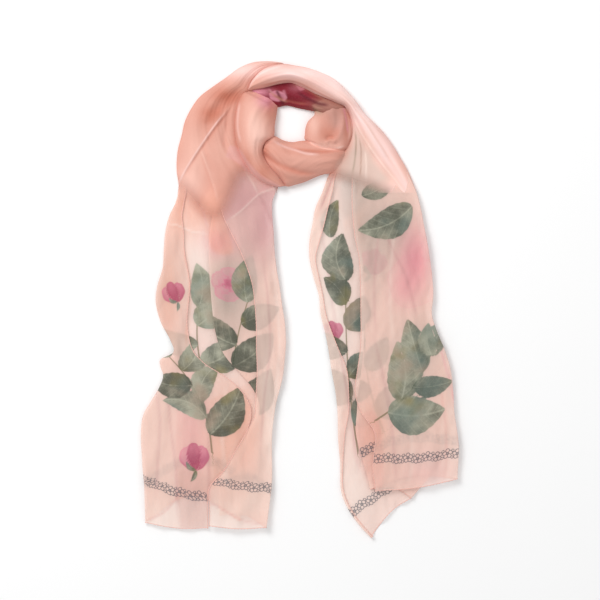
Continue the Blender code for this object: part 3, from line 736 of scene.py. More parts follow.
def spray_motifs(x, y, heading, length, bend, leaves, size, tone, seed):
    """Stem with leaves on alternate sides and one at its tip, as single motifs."""
    rng = np.random.default_rng(seed)
    turn = math.radians(heading)
    ahead = np.array((math.cos(turn), -math.sin(turn)))
    aside = np.array((-ahead[1], ahead[0]))
    shares = np.linspace(0, 1, 7)
    path = [tuple(np.array((x, y)) + ahead * length * t
                  - aside * length * bend * 4 * t * (1 - t) * 0.6) for t in shares]
    motifs = [("stem", 1.0, tuple(path))]
    # Leaves stand from a sixth of the way up to the tip, the lower ones larger.
    for i in range(leaves):
        share = 0.16 + 0.84 * i / max(1, leaves - 1)
        spot = share * 6
        k = min(int(spot), 5)
        base = np.array(path[k]) + (np.array(path[k + 1]) - path[k]) * (spot - k)
        side = 1 if i % 2 else -1
        lean = 0 if i == leaves - 1 else side * rng.uniform(34, 62)
        grown = size * rng.uniform(0.78, 1.22) * (1 - 0.20 * share)
        motifs.append(("leaf", base[0], base[1], heading + lean, grown,
                       grown * rng.uniform(0.50, 0.70), rng.uniform(-0.18, 0.18),
                       float(np.clip(tone + rng.uniform(-0.16, 0.30), 0, 0.8))))
    return motifs


def bud_motifs(x, y, heading, size, tone):
    """Closed bud: three petals over two sepals."""
    return [
        ("leaf", x, y, heading + 150, size * 0.45, size * 0.16, 0.1, 0.3),
        ("leaf", x, y, heading + 38, size * 0.50, size * 0.17, 0.2, 0.25),
        ("petal", x, y, heading + 20, size * 0.92, size * 0.60, 0.06, tone - 0.25),
        ("petal", x, y, heading - 22, size * 0.90, size * 0.56, -0.06, tone - 0.05),
        ("petal", x, y, heading, size, size * 0.46, 0.02, tone + 0.15),
    ]


def bloom_motifs(x, y, size, tone, seed):
    """Open flower: broad petals round a heart, the outer ones palest."""
    rng = np.random.default_rng(seed)
    motifs = []
    for ring, count in ((1.0, 5), (0.62, 4), (0.34, 3)):
        for i in range(count):
            heading = 360 * i / count + 80 * ring + rng.uniform(-14, 14)
            motifs.append(("petal", x, y, heading, size * ring * rng.uniform(0.9, 1.1),
                           size * ring * rng.uniform(0.95, 1.2), rng.uniform(-0.1, 0.1),
                           tone + (1 - ring) * 0.45 + rng.uniform(-0.10, 0.10)))
    return motifs


def single_motifs(motifs):
    """Leaves, petals and stems that sprays, buds and blooms are made of."""
    makers = {"spray": spray_motifs, "bud": bud_motifs, "bloom": bloom_motifs}
    single = []
    for kind, *values in motifs:
        single += makers[kind](*values) if kind in makers else [(kind, *values)]
    return single


def blade(points, motif, form):
    """Field of a leaf or petal: edge distance in metres, share along it, share across it."""
    x, y, heading, length, width, bend = motif
    base = on_grid((x, y))
    turn = math.radians(heading)
    along_axis = np.array((math.cos(turn), math.sin(turn)))
    offset = points - base
    size = length * GRID * MM
    along = offset @ along_axis / size
    across = offset @ np.array((-along_axis[1], along_axis[0]))
    inside = np.clip(along, 0, 1)
    across = across - bend * size * 4 * inside * (1 - inside)
    rise, fall, depth, ripples = form
    peak = rise / (rise + fall)
    shape = inside ** rise * (1 - inside) ** fall / (peak ** rise * (1 - peak) ** fall)
    ripple = 1 + depth * np.sin(inside * ripples + x)
    half = 0.5 * width * GRID * MM * shape * ripple
    edge = np.maximum(np.abs(across) - half, np.maximum(-along, along - 1) * size)
    return edge, inside, across / (0.5 * width * GRID * MM)


def printed(points, motifs):
    """Fields of a layer's motifs: edges and places of leaves and petals, tones, and stems."""
    count = len(points)
    far = NO_MOTIF * MM
    blank = np.column_stack((np.full(count, far), np.zeros(count), np.zeros(count)))
    fields = {"leaf": blank.copy(), "leaf_tone": np.zeros(count),
              "petal": blank.copy(), "petal_tone": np.zeros(count),
              "stem": blank.copy()}
    for kind, *motif in single_motifs(motifs):
        if kind == "stem":
            away, share = along_path(points, on_grid(motif[1]))
            closer = np.abs(away) < np.abs(fields["stem"][:, 0])
            width = motif[0] * MM * (1.15 - 0.5 * share)
            fields["stem"][closer] = np.column_stack((away, width, share))[closer]
            continue
        edge, along, across = blade(points, motif[:6], BLADE_FORMS[kind])
        closer = (edge < fields[kind][:, 0]) | (edge < OVERLAP * MM)
        fields[kind][closer] = np.column_stack((edge, along, across))[closer]
        fields[kind + "_tone"][closer] = motif[6]
    for name in ("leaf", "petal"):
        fields[name][:, 0] = np.minimum(fields[name][:, 0], far)
    return fields


def washed(points, ground, washes):
    """Ground colour with soft washes over it."""
    colour = np.tile(np.asarray(ground, float), (len(points), 1))
    for x, y, wide, tall, strength, name in washes:
        offset = (points - on_grid((x, y))) / (np.array((wide, tall)) * GRID * MM)
        share = strength * np.exp(-(offset ** 2).sum(axis=1))
        colour += (np.array(WASHES[name]) - colour) * share[:, None]
    return colour


def patched(points, colour, patches):
    """Colour with stretches of another tone over it."""
    for strength, soft, name, outline in patches:
        stations = on_grid(curve(outline + outline[:1], PATH_STEPS))
        inside = np.zeros(len(points), bool)
        for (x0, y0), (x1, y1) in zip(stations, stations[1:]):
            if y0 != y1:
                spans = (y0 > points[:, 1]) != (y1 > points[:, 1])
                cut = x0 + (points[:, 1] - y0) * (x1 - x0) / (y1 - y0)
                inside ^= spans & (points[:, 0] < cut)
        away = np.abs(along_path(points, on_grid(outline + outline[:1]))[0]) / (soft * MM)
        mask = strength * np.clip(0.5 + 0.5 * np.where(inside, away, -away), 0, 1)
        colour += (np.array(WASHES[name]) - colour) * mask[:, None]
    return colour


def lined(points, colour, lines):
    """Colour with thin soft lines over it, such as painted highlights and shade along creases."""
    for width, strength, name, path in lines:
        away, share = along_path(points, on_grid(path))
        taper = np.clip(np.minimum(share, 1 - share) / LINE_FADE, 0, 1)
        mask = strength * taper * np.exp(-(away / (width * MM)) ** 2)
        colour += (np.array(WASHES[name]) - colour) * mask[:, None]
    return colour


# ---------------------------------------------------------------- meshes

# Ripple of the tails: added to the seed, size in metres, stretch along the tail, height in mm.
RIPPLES = ((0, 0.046, 6.0, 4.0), (20, 0.017, 9.0, 1.8))
RIPPLE_END = 0.150           # m, y by the ring at which the ripple would end
RIPPLE_GROWTH = 0.060        # m down from there over which it grows
RIPPLE_LEAST = 0.25          # share of it that stays there
TAIL_SINK = 0.4              # mm, most that a tail's relief lowers it

LIP = 1.3                    # mm, depth of the grooves between the layers at a roll's edge
EDGE_LAYERS = 3              # layers that show at a roll's edge
LAYER_RISE = 0.12            # height of one of them, as a share of the roll's
# Fine folds of a gathered stretch: how many in each FOLDED_WIDTH across, and their depth in mm.
FINE_FOLDS = ((0.9, 0.75), (1.6, 0.65), (2.7, 0.50), (4.3, 0.30), (7.0, 0.16))
FOLDED_WIDTH = 40
CREASED_FROM = 0.45          # share of a roll's height where its creases begin
CREASED_OVER = 0.40          # share of it over which they deepen
FOOT_SHADE = 0.40            # painted shade at the foot of a roll
FOOT_HEIGHT = 0.65           # share of a roll's height where that painted shade ends
FOLD_SHADE = 9               # mm deep in a fine fold's trough for full painted shade
FOLD_SHADE_MOST = 0.2        # most that it makes
ROLL_FLOOR = 0.2             # mm, lowest that a roll's cloth comes


def grid_mesh(name, points, closed):
    """Mesh of rows by columns of points, each row closed into a ring if asked."""
    rows, columns = points.shape[:2]
    index = np.arange(rows * columns).reshape(rows, columns)
    last = columns if closed else columns - 1
    right = np.roll(index, -1, axis=1)
    quads = np.stack((index[:-1, :last], right[:-1, :last], right[1:, :last],
                      index[1:, :last]), axis=-1).reshape(-1, 4)
    mesh = bpy.data.meshes.new(name)
    mesh.vertices.add(rows * columns)
    mesh.vertices.foreach_set("co", points.reshape(-1))
    mesh.loops.add(quads.size)
    mesh.loops.foreach_set("vertex_index", quads.reshape(-1).astype(np.int32))
    mesh.polygons.add(len(quads))
    mesh.polygons.foreach_set("loop_start", np.arange(0, quads.size, 4, dtype=np.int32))
    mesh.update(calc_edges=True)
    mesh.validate()
    mesh.shade_smooth()
    return mesh


def place(name, mesh, finish):
    """Put a finished mesh into the scene on the scarf's one body."""
    mesh.materials.clear()
    mesh.materials.append(finish)
    piece = bpy.data.objects.new(name, mesh)
    bpy.context.scene.collection.objects.link(piece)
    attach(piece, "root")
    return piece


def set_field(mesh, name, values):
    """Store numbers, vectors or colours on the vertices."""
    values = np.asarray(values, np.float32)
    if values.ndim == 1:
        kind, part = "FLOAT", "value"
    elif name == "ground":
        kind, part = "FLOAT_COLOR", "color"
        values = np.column_stack((values, np.ones(len(values), np.float32)))
    else:
        kind, part = "FLOAT_VECTOR", "vector"
    mesh.attributes.new(name, kind, "POINT").data.foreach_set(part, values.reshape(-1))


def paint(mesh, plan, ground, tones):
    """Store the ground colour under its washes, patches and lines, with their painted highlights
    and shade.
    """
    washes, patches, lines = tones
    colour = patched(plan, washed(plan, ground, washes), patches)
    set_field(mesh, "ground", lined(plan, colour, lines))


def set_uv(mesh, uv):
    """UV map in metres of cloth, from a value on each vertex."""
    layer = mesh.uv_layers.new(name="cloth")
    corner = np.zeros(len(mesh.loops), np.int32)
    mesh.loops.foreach_get("vertex_index", corner)
    layer.uv.foreach_set("vector", np.asarray(uv, np.float32)[corner].reshape(-1))


def run_length(points, axis):
    """Length run along rows or columns of points."""
    steps = np.linalg.norm(np.diff(points, axis=axis), axis=-1)
    total = np.cumsum(steps, axis=axis)
    pad = [(0, 0), (0, 0)]
    pad[axis] = (1, 0)
    return np.pad(total, pad)


def folded_rows(table, drops, rises, reach):
    """Rows of points of a folded sheet, and the stretch of the fold that each column is on."""
    rows = curve(table, TAIL_STEPS)
    value = {name: rows[:, i] for i, name in enumerate(TAIL_COLUMNS)}
    left = np.column_stack((value["left_x"], value["left_y"]))
    right = np.column_stack((value["right_x"], value["right_y"]))
    across = right - left
    width = np.hypot(across[:, 0], across[:, 1])
    across = across / width[:, None]
    stops = np.column_stack((value["top"], width, value["tuck"], value["under"],
                             np.zeros(len(rows)), value["strip"]))
    levels = [WALL / 2 + level * PITCH for level in STACK]
    lines, ups, places, layers = [], [], [], []
    start = stops[:, 0]
    for i, up in enumerate(levels):
        heading = np.sign(stops[:, i + 1] - stops[:, i])
        last = i == len(levels) - 1
        rise = 0.0 if last else (levels[i + 1] - up) / 2
        bulge = 0.0 if last else min(abs(rise), 0.8 * PITCH)
        centre = stops[:, i + 1] - (0.0 if last else heading * (bulge + WALL / 2))
        # Places end just short of the next stretch, so that each keeps a hem of its own.
        for share in np.linspace(0, 1, PANEL_COLUMNS[i]):
            lines.append(start + (centre - start) * share)
            ups.append(up)
            places.append(i + 0.98 * share)
            layers.append(i)
        if not last:
            for turn in np.linspace(-0.5, 0.5, TURN_COLUMNS + 2)[1:-1] * math.pi:
                lines.append(centre + heading * bulge * math.cos(turn))
                ups.append(up + rise * (1 + math.sin(turn)))
                places.append(i + 1.0)
                layers.append(i if turn < 0 else i + 1)
        start = centre
    weight = np.clip(1 - (value["left_y"] - table[0][1]) / reach, 0, 1)
    points = np.zeros((len(rows), len(lines), 3))
    for j, (line, up, spot) in enumerate(zip(lines, ups, places)):
        k = max(0, min(int(spot), len(drops) - 2))
        share = min(max(spot - k, 0.0), 1.0)
        shift = [drops[k][a] + (drops[k + 1][a] - drops[k][a]) * share for a in (0, 1)]
        rise = rises[min(int(spot), len(rises) - 1)] * math.sin(math.pi * share) ** 1.2
        points[:, j, :2] = left + across * line[:, None]
        points[:, j, 0] += shift[0] * weight ** 3
        points[:, j, 1] += shift[1] * weight + rise * weight ** 1.5
        points[:, j, 2] = up * value["height"]
    points *= MM
    points[:, :, :2] += PLAN_SHIFT
    return points, np.array(layers)


def folded_tail(name, table, drops, rises, reach, creases, motifs, tones, seed,
                corner, shifts):
    """Folded sheet of one tail with its relief and print fields."""
    points, layers = folded_rows(table, drops, rises, reach)
    rows, columns = points.shape[:2]
    uv = np.stack((run_length(points, 1), run_length(points, 0)), axis=-1).reshape(-1, 2)
    flat = points.reshape(-1, 3)
    plan = flat[:, :2].copy()
    layer = np.tile(layers, rows)
    for number, spots, ups in shifts:
        chosen = layer == number
        across = on_grid([(spot, 0) for spot in spots])[:, 0]
        uv[chosen, 1] += np.interp(plan[chosen, 0], across, ups) * MM
    if corner:
        start, end = on_grid(corner)
        along = (end - start) / np.hypot(*(end - start))
        turned = layer >= 3
        offset = plan[turned] - start
        place_up = bpy.context.scene.scarf_sizes.border_place
        uv[turned] = np.column_stack((
            offset @ along, offset @ (-along[1], along[0]) + place_up))
    lift, crevice_shade = relief(plan, creases)
    growth = np.clip((RIPPLE_END - plan[:, 1]) / RIPPLE_GROWTH, RIPPLE_LEAST, 1)
    ripple = sum(waves(plan, seed + more, size, stretch) * high
                 for more, size, stretch, high in RIPPLES) * MM
    flat[:, 2] += np.clip(lift + ripple * growth, -TAIL_SINK * MM, None)
    mesh = grid_mesh(name, flat.reshape(rows, columns, 3), closed=False)
    set_uv(mesh, uv)
    paint(mesh, plan, bpy.context.scene.scarf_colours.ground, tones)
    # Painted shade in the troughs and under the laps of the tails' creases, weaker than on the
    # ring.
    set_field(mesh, "crevice_shade", crevice_shade * 0.4)
    set_field(mesh, "cover", np.zeros(len(flat)))
    fields = printed(plan, ())
    for number, layer_motifs in motifs.items():
        chosen = layer == number
        for key, values in printed(plan[chosen], layer_motifs).items():
            fields[key][chosen] = values
    for key, values in fields.items():
        set_field(mesh, key, values)
    return mesh


def wrapped_section(width, height, crown):
    """Closed section of a gathered roll in mm: layered sides, a round crown, a flat floor."""
    lip = min(LIP, 0.08 * width)
    shoulder = EDGE_LAYERS * LAYER_RISE
    side = []
    for layer in range(EDGE_LAYERS):
        for share in (0.0, 0.16, 0.34, 0.5, 0.66, 0.84):
            side.append((lip * (1 - math.sin(math.pi * share)), (layer + share) * LAYER_RISE))
    side.append((lip, shoulder))
    even = np.linspace(0, 1, crown)
    places = 0.5 * even + 0.5 * (0.5 - 0.5 * np.cos(np.pi * even))
    top = [(lip + (width - 2 * lip) * p,
            shoulder + (1 - shoulder) * math.sin(math.pi * p) ** 0.55) for p in places[1:-1]]
    far = [(width - across, up) for across, up in reversed(side)]
    floor = [(lip + (width - 2 * lip) * (1 - p), 0.0) for p in np.linspace(0, 1, 9)[1:-1]]
    section = np.array(side + top + far + floor)
    section[:, 1] *= height
    return section


def flow_folds(across, along, width, seed):
    """Fine folds that run along a roll, in mm, from the shares across and along it."""
    rng = np.random.default_rng(seed)
    folds = np.zeros(len(across))
    for number, depth in FINE_FOLDS:
        count = number * max(1.0, width / FOLDED_WIDTH)
        drift = (0.32 * np.sin(along * math.tau * rng.uniform(0.4, 0.9) + rng.uniform(0, 6))
                 + 0.10 * np.sin(along * math.tau * rng.uniform(1.6, 2.6)))
        swell = 0.65 + 0.35 * np.sin(along * math.tau * rng.uniform(0.6, 1.6)
                                     + rng.uniform(0, 6))
        folds += depth * swell * np.sin(math.tau * count * (across + 0.5 * drift)
                                        + rng.uniform(0, 6))
    return folds


def wrapped_roll(name, left, right, heights, creases, steps, crown, outwards, depth, seed):
    """Sheet wrapped round a gathered roll between its two plan edges, and its points."""
    left, right = curve(left, steps), curve(right, steps)
    height = curve([(h,) for h in heights], steps)[:, 0]
    grow = [curve([(g,) for g in side], steps)[:, 0] for side in outwards]
    rings, across_share = [], []
    for start, end, tall, near, far in zip(left, right, height, *grow):
        across = end - start
        width = math.hypot(*across)
        across = across / width
        width += near + far
        section = wrapped_section(width, tall, crown)
        plan = start - across * near + section[:, :1] * across
        rings.append(np.column_stack((plan, section[:, 1])))
        across_share.append(section[:, 0] / width)
    points = np.array(rings) * MM
    points[:, :, :2] += PLAN_SHIFT
    rows, columns = points.shape[:2]
    flat = points.reshape(-1, 3)
    tall = np.repeat(height, columns) * MM
    share_up = flat[:, 2] / tall
    upper = np.clip((share_up - CREASED_FROM) / CREASED_OVER, 0, 1)
    lift, crevice_shade = relief(flat[:, :2], creases)
    wide = float(np.median(np.hypot(*(right - left).T)))
    folds = flow_folds(np.array(across_share).reshape(-1),
                       np.repeat(np.linspace(0, 1, rows), columns), wide, seed)
    # Painted shade: deeper colour at the foot of each roll, in the troughs of its fine folds and
    # in its creases' crevices.
    foot = FOOT_SHADE * (1 - np.clip(share_up / FOOT_HEIGHT, 0, 1))
    between = np.clip(-folds / FOLD_SHADE, 0, FOLD_SHADE_MOST) * upper
    crevice_shade = np.maximum(np.maximum(crevice_shade * upper, foot), between)
    flat[:, 2] += (lift + folds * depth * MM) * upper
    flat[:, 2] = np.maximum(flat[:, 2], ROLL_FLOOR * MM)
    uv = np.stack((run_length(points, 1), run_length(points, 0)), axis=-1).reshape(-1, 2)
    mesh = grid_mesh(name, flat.reshape(rows, columns, 3), closed=True)
    set_uv(mesh, uv)
    set_field(mesh, "crevice_shade", crevice_shade)
    return mesh, flat


# ---------------------------------------------------------------- materials

MATT_SPECULAR = 0.2
GRAIN_SCALE = 520.0          # light and dark grains in a metre of cloth
# Rosette of the border, as shares of its pitch.
PETAL_PLACE = 0.30           # from its middle to the middle of each looped petal
PETAL_RADIUS = 0.185
HEART_RADIUS = 0.07
LOOP_PLACE = 0.34            # from the row to the loops above and below it
LOOP_RADIUS = 0.12
PETAL_COUNT = 5
ROW_SWAY = 0.0011            # m, how far the row wanders to either side
SHEER_ALPHA = 0.60           # cover of one layer of plain cloth
DYED_ALPHA = 0.27            # cover that full dye adds to it
SHEER_GRAIN = (1.0, 0.90, 0.85, 1.0)        # light crests of the tails' crepe
GATHERED_GRAIN = (1.0, 0.80, 0.75, 1.0)     # light crests of the ring's crepe
CREVICE_GLOW = (1.0, 0.30, 0.20, 1.0)       # painted glow in the crevices, for light that has come through many layers


class Wire:
    """A shader value that can be written in a Python expression."""

    def __init__(self, recipe, socket):
        self.recipe = recipe
        self.socket = socket

    def _math(self, operation, *values):
        return self.recipe.math(operation, *values)

    def __add__(self, other):
        return self._math("ADD", self, other)

    def __sub__(self, other):
        return self._math("SUBTRACT", self, other)

    def __mul__(self, other):
        return self._math("MULTIPLY", self, other)

    def __truediv__(self, other):
        return self._math("DIVIDE", self, other)

    def __rsub__(self, other):
        return self._math("SUBTRACT", other, self)

    def __rtruediv__(self, other):
        return self._math("DIVIDE", other, self)

    def __abs__(self):
        return self._math("ABSOLUTE", self)

    __radd__ = __add__
    __rmul__ = __mul__


class Recipe:
    """Node tree of one material, with its Principled shader."""

    def __init__(self, name, **constants):
        self.material = bpy.data.materials.new(name)
        self.material.use_nodes = True
        self.tree = self.material.node_tree
        self.shader = self.tree.nodes["Principled BSDF"]
        for key, value in constants.items():
            self.shader.inputs[key.replace("_", " ").title()].default_value = value
        self.shader.inputs["Specular IOR Level"].default_value = MATT_SPECULAR

    def feed(self, socket, value):
        """Set a socket, or link it."""
        if isinstance(value, Wire):
            self.tree.links.new(value.socket, socket)
        else:
            socket.default_value = value

    def node(self, kind, output=0, inputs=None, **settings):
        """Any node: its settings, then its sockets by name or number."""
        made = self.tree.nodes.new(kind)
        for key, value in settings.items():
            setattr(made, key, value)
        for key, value in (inputs or {}).items():
            self.feed(made.inputs[key], value)
        return Wire(self, made.outputs[output])

    def math(self, operation, *values):
        """Math node on numbers and sockets."""
        return self.node("ShaderNodeMath", inputs=dict(enumerate(values)),
                         operation=operation)

    def mix(self, share, first, second, blend="MIX"):
        """Mix of two colours."""
        return self.node("ShaderNodeMix", output=2, data_type="RGBA", blend_type=blend,
                         inputs={0: share, 6: first, 7: second})

    def smooth(self, value, low, high):
        """0 below low, 1 above high, smooth between."""
        return self.node("ShaderNodeMapRange", interpolation_type="SMOOTHSTEP",
                         inputs={"Value": value, "From Min": low, "From Max": high})

    def number(self, name):
        """Field of numbers on the mesh."""
        return self.node("ShaderNodeAttribute", output="Fac", attribute_name=name)

    def vector(self, name):
        """The three numbers of a vector field."""
        whole = self.node("ShaderNodeAttribute", output="Vector", attribute_name=name)
        return [self.node("ShaderNodeSeparateXYZ", output=i, inputs={0: whole})
                for i in range(3)]

    def colour(self, name):
        """Field of colours on the mesh."""
        return self.node("ShaderNodeAttribute", output="Color", attribute_name=name)

    def noise(self, place, scale, detail=2.0, roughness=0.5):
        """Cloudy noise, from 0 to 1."""
        return self.node("ShaderNodeTexNoise", output="Fac", inputs={
            "Vector": place, "Scale": scale, "Detail": detail, "Roughness": roughness})


def rgba(colour):
    """Colour with full alpha."""
    return (*colour[:3], 1.0)


def crepe_bump(recipe, strength):
    """Fine crepe grain of georgette as a bump."""
    sizes = bpy.context.scene.scarf_sizes
    place_of = recipe.node("ShaderNodeTexCoord", output="Object")
    grain = recipe.noise(place_of, sizes.crepe_scale, 1.0)
    bump = recipe.node("ShaderNodeBump", inputs={
        "Strength": strength, "Distance": 0.0003, "Height": grain})
    recipe.feed(recipe.shader.inputs["Normal"], bump)
    return place_of


def rosette_border(recipe):
    """Row of small line-drawn rosettes above the hem, from 0 to 1."""
    sizes = bpy.context.scene.scarf_sizes
    uv = recipe.node("ShaderNodeUVMap", uv_map="cloth")
    across = recipe.node("ShaderNodeSeparateXYZ", output=0, inputs={0: uv})
    above = recipe.node("ShaderNodeSeparateXYZ", output=1, inputs={0: uv})
    pitch = sizes.rosette_pitch
    cell = across / pitch
    x = (recipe.math("FRACT", cell) - 0.5) * pitch
    sway = recipe.math("SINE", cell * math.pi) * ROW_SWAY
    y = above - sizes.border_place + sway
    radius = recipe.math("SQRT", x * x + y * y)
    share = recipe.math("ARCTAN2", y, x) * (PETAL_COUNT / math.tau)
    turn = (recipe.math("FRACT", share + 0.15) - 0.5) * (math.tau / PETAL_COUNT)
    petal_x = radius * recipe.math("COSINE", turn) - pitch * PETAL_PLACE
    petal_y = radius * recipe.math("SINE", turn)
    petal = recipe.math("SQRT", petal_x * petal_x + petal_y * petal_y)
    petals = 1.0 - recipe.smooth(abs(petal - pitch * PETAL_RADIUS), 0.0003, 0.0009)
    heart = 1.0 - recipe.smooth(abs(radius - pitch * HEART_RADIUS), 0.0003, 0.0008)
    side_x = (recipe.math("FRACT", cell + 0.5) - 0.5) * pitch
    side_y = abs(y) - pitch * LOOP_PLACE
    loop = recipe.math("SQRT", side_x * side_x + side_y * side_y)
    loops = 1.0 - recipe.smooth(abs(loop - pitch * LOOP_RADIUS), 0.0002, 0.0008)
    return recipe.math("MAXIMUM", recipe.math("MAXIMUM", petals, heart), loops)


def sheer_georgette():
    """Printed sheer cloth of the tails."""
    colours = bpy.context.scene.scarf_colours
    recipe = Recipe("sheer_printed_georgette", roughness=0.72, metallic=0.0,
                    sheen_weight=0.20, sheen_roughness=0.45, emission_strength=0.02)
    place_of = crepe_bump(recipe, 0.35)
    wash = recipe.noise(place_of, 38.0, 4.0, 0.6)
    grain = recipe.noise(place_of, GRAIN_SCALE, 2.0)
    # Painted shade mixed into the ground at the creases' crevices.
    ground = recipe.mix(recipe.number("crevice_shade"), recipe.colour("ground"),
                        rgba(colours.crevice_shade))

    leaf_edge, leaf_along, leaf_across = recipe.vector("leaf")
    wander = (wash - 0.5) * 0.0022
    leaf = 1.0 - recipe.smooth(leaf_edge + wander, -0.0007, 0.0008)
    midrib = 1.0 - recipe.smooth(abs(leaf_across), 0.02, 0.07)
    branch = recipe.math("FRACT", leaf_along * 7.0 - abs(leaf_across) * 2.0)
    veins = 1.0 - recipe.smooth(abs(branch - 0.5), 0.02, 0.12)
    side = recipe.smooth(leaf_across, -0.3, 0.3)
    tone = (recipe.number("leaf_tone") + midrib * 0.22 + veins * 0.10 + side * 0.16
            + (wash - 0.5) * 1.7 + leaf_along * 0.12)
    green = recipe.mix(recipe.smooth(tone, 0.0, 1.0), rgba(colours.leaf_dark),
                       rgba(colours.leaf_pale))
    olive = recipe.smooth(recipe.noise(place_of, 24.0, 2.0), 0.50, 0.72)
    green = recipe.mix(olive * 0.65, green, rgba(colours.leaf_olive))
    teal = recipe.smooth(recipe.noise(place_of, 15.0, 2.0), 0.52, 0.66)
    green = recipe.mix(teal * 0.50, green, rgba(colours.leaf_teal))
    brown = recipe.smooth(recipe.noise(place_of, 19.0, 3.0), 0.54, 0.70)
    green = recipe.mix(brown * 0.55, green, rgba(colours.leaf_brown))
    stem_away, stem_width, _ = recipe.vector("stem")
    stem = 1.0 - recipe.smooth(abs(stem_away) - stem_width, -0.0002, 0.0005)

    petal_edge, petal_along, petal_across = recipe.vector("petal")
    petal = 1.0 - recipe.smooth(petal_edge + wander, -0.0010, 0.0014)
    rim = recipe.smooth(petal_edge, -0.0050, 0.0)
    flush = recipe.smooth(recipe.number("petal_tone") + (wash - 0.5) * 0.6 + rim * 0.12
                          + (0.5 - petal_along) * 0.45, 0.05, 1.05)
    pink = recipe.mix(flush, rgba(colours.petal), rgba(colours.petal_deep))
    petal_share = petal * recipe.smooth(recipe.number("petal_tone") + flush * 0.6
                                        + rim * 0.15, -0.45, 0.75)

    inked = rosette_border(recipe)
    base = recipe.mix((wash - 0.4) * 0.16, ground, rgba(colours.ground_pale))
    base = recipe.mix(petal_share, base, pink)
    base = recipe.mix(stem * 0.85, base, rgba(colours.stem))
    base = recipe.mix(leaf * 0.95, base, green)
    base = recipe.mix(inked * 0.84, base, rgba(colours.ink))
    base = recipe.mix((grain - 0.5) * 0.16, base, SHEER_GRAIN)
    recipe.feed(recipe.shader.inputs["Base Color"], base)
    # A faint painted glow of the cloth's own colour lifts the shaded gaps between its layers.
    recipe.feed(recipe.shader.inputs["Emission Color"], base)
    dye = recipe.math("MAXIMUM", recipe.math("MAXIMUM", leaf, stem * 0.8),
                      recipe.math("MAXIMUM", petal_share * 0.5, inked * 0.8))
    alpha = recipe.math("MAXIMUM", dye * DYED_ALPHA + SHEER_ALPHA, recipe.number("cover"))
    recipe.feed(recipe.shader.inputs["Alpha"], alpha)
    return recipe.material


def gathered_georgette(name, pale, sheen, glow):
    """Gathered cloth, many layers deep, with painted shade in its crevices and a painted glow for
    light come through its layers.
    """
    colours = bpy.context.scene.scarf_colours
    recipe = Recipe(name, roughness=0.70, metallic=0.0, sheen_weight=sheen,
                    sheen_roughness=0.45, emission_strength=glow)
    place_of = crepe_bump(recipe, 0.30)
    wash = recipe.noise(place_of, 30.0, 3.0, 0.55)
    grain = recipe.noise(place_of, GRAIN_SCALE, 2.0)
    base = recipe.mix((wash - 0.35) * 0.35, recipe.colour("ground"), rgba(pale))
    # Painted shade mixed in at the crevices and the feet of the rolls.
    base = recipe.mix(recipe.smooth(recipe.number("crevice_shade"), 0.0, 1.0), base,
                      rgba(colours.crevice_shade))
    base = recipe.mix((grain - 0.5) * 0.10, base, GATHERED_GRAIN)
    recipe.feed(recipe.shader.inputs["Base Color"], base)
    # Painted glow, warmest in the crevices, for light that has come through the layers.
    through = recipe.mix(recipe.number("crevice_shade"), base, CREVICE_GLOW)
    recipe.feed(recipe.shader.inputs["Emission Color"], through)
    recipe.feed(recipe.shader.inputs["Alpha"], recipe.number("cover"))
    return recipe.material


def hem_thread():
    """Rolled hem and its thread."""
    colours = bpy.context.scene.scarf_colours
    recipe = Recipe("hem_thread", roughness=0.6, metallic=0.0, sheen_weight=0.3)
    place_of = recipe.node("ShaderNodeTexCoord", output="Object")
    twist = recipe.noise(place_of, 900.0, 2.0)
    base = recipe.mix(twist * 0.5, rgba(colours.hem), rgba(colours.hem_pale))
    recipe.feed(recipe.shader.inputs["Base Color"], base)
    bump = recipe.node("ShaderNodeBump", inputs={
        "Strength": 0.5, "Distance": 0.0002, "Height": twist})
    recipe.feed(recipe.shader.inputs["Normal"], bump)
    return recipe.material


# ---------------------------------------------------------------- hem by geometry nodes

HEM_SIDES = 6                # sides of the rolled hem and of a stitch
STITCH_PROUD = 1.25          # radius of a stitch, of the hem's
STITCH_LEAN = 0.42           # radians that a stitch leans along the hem


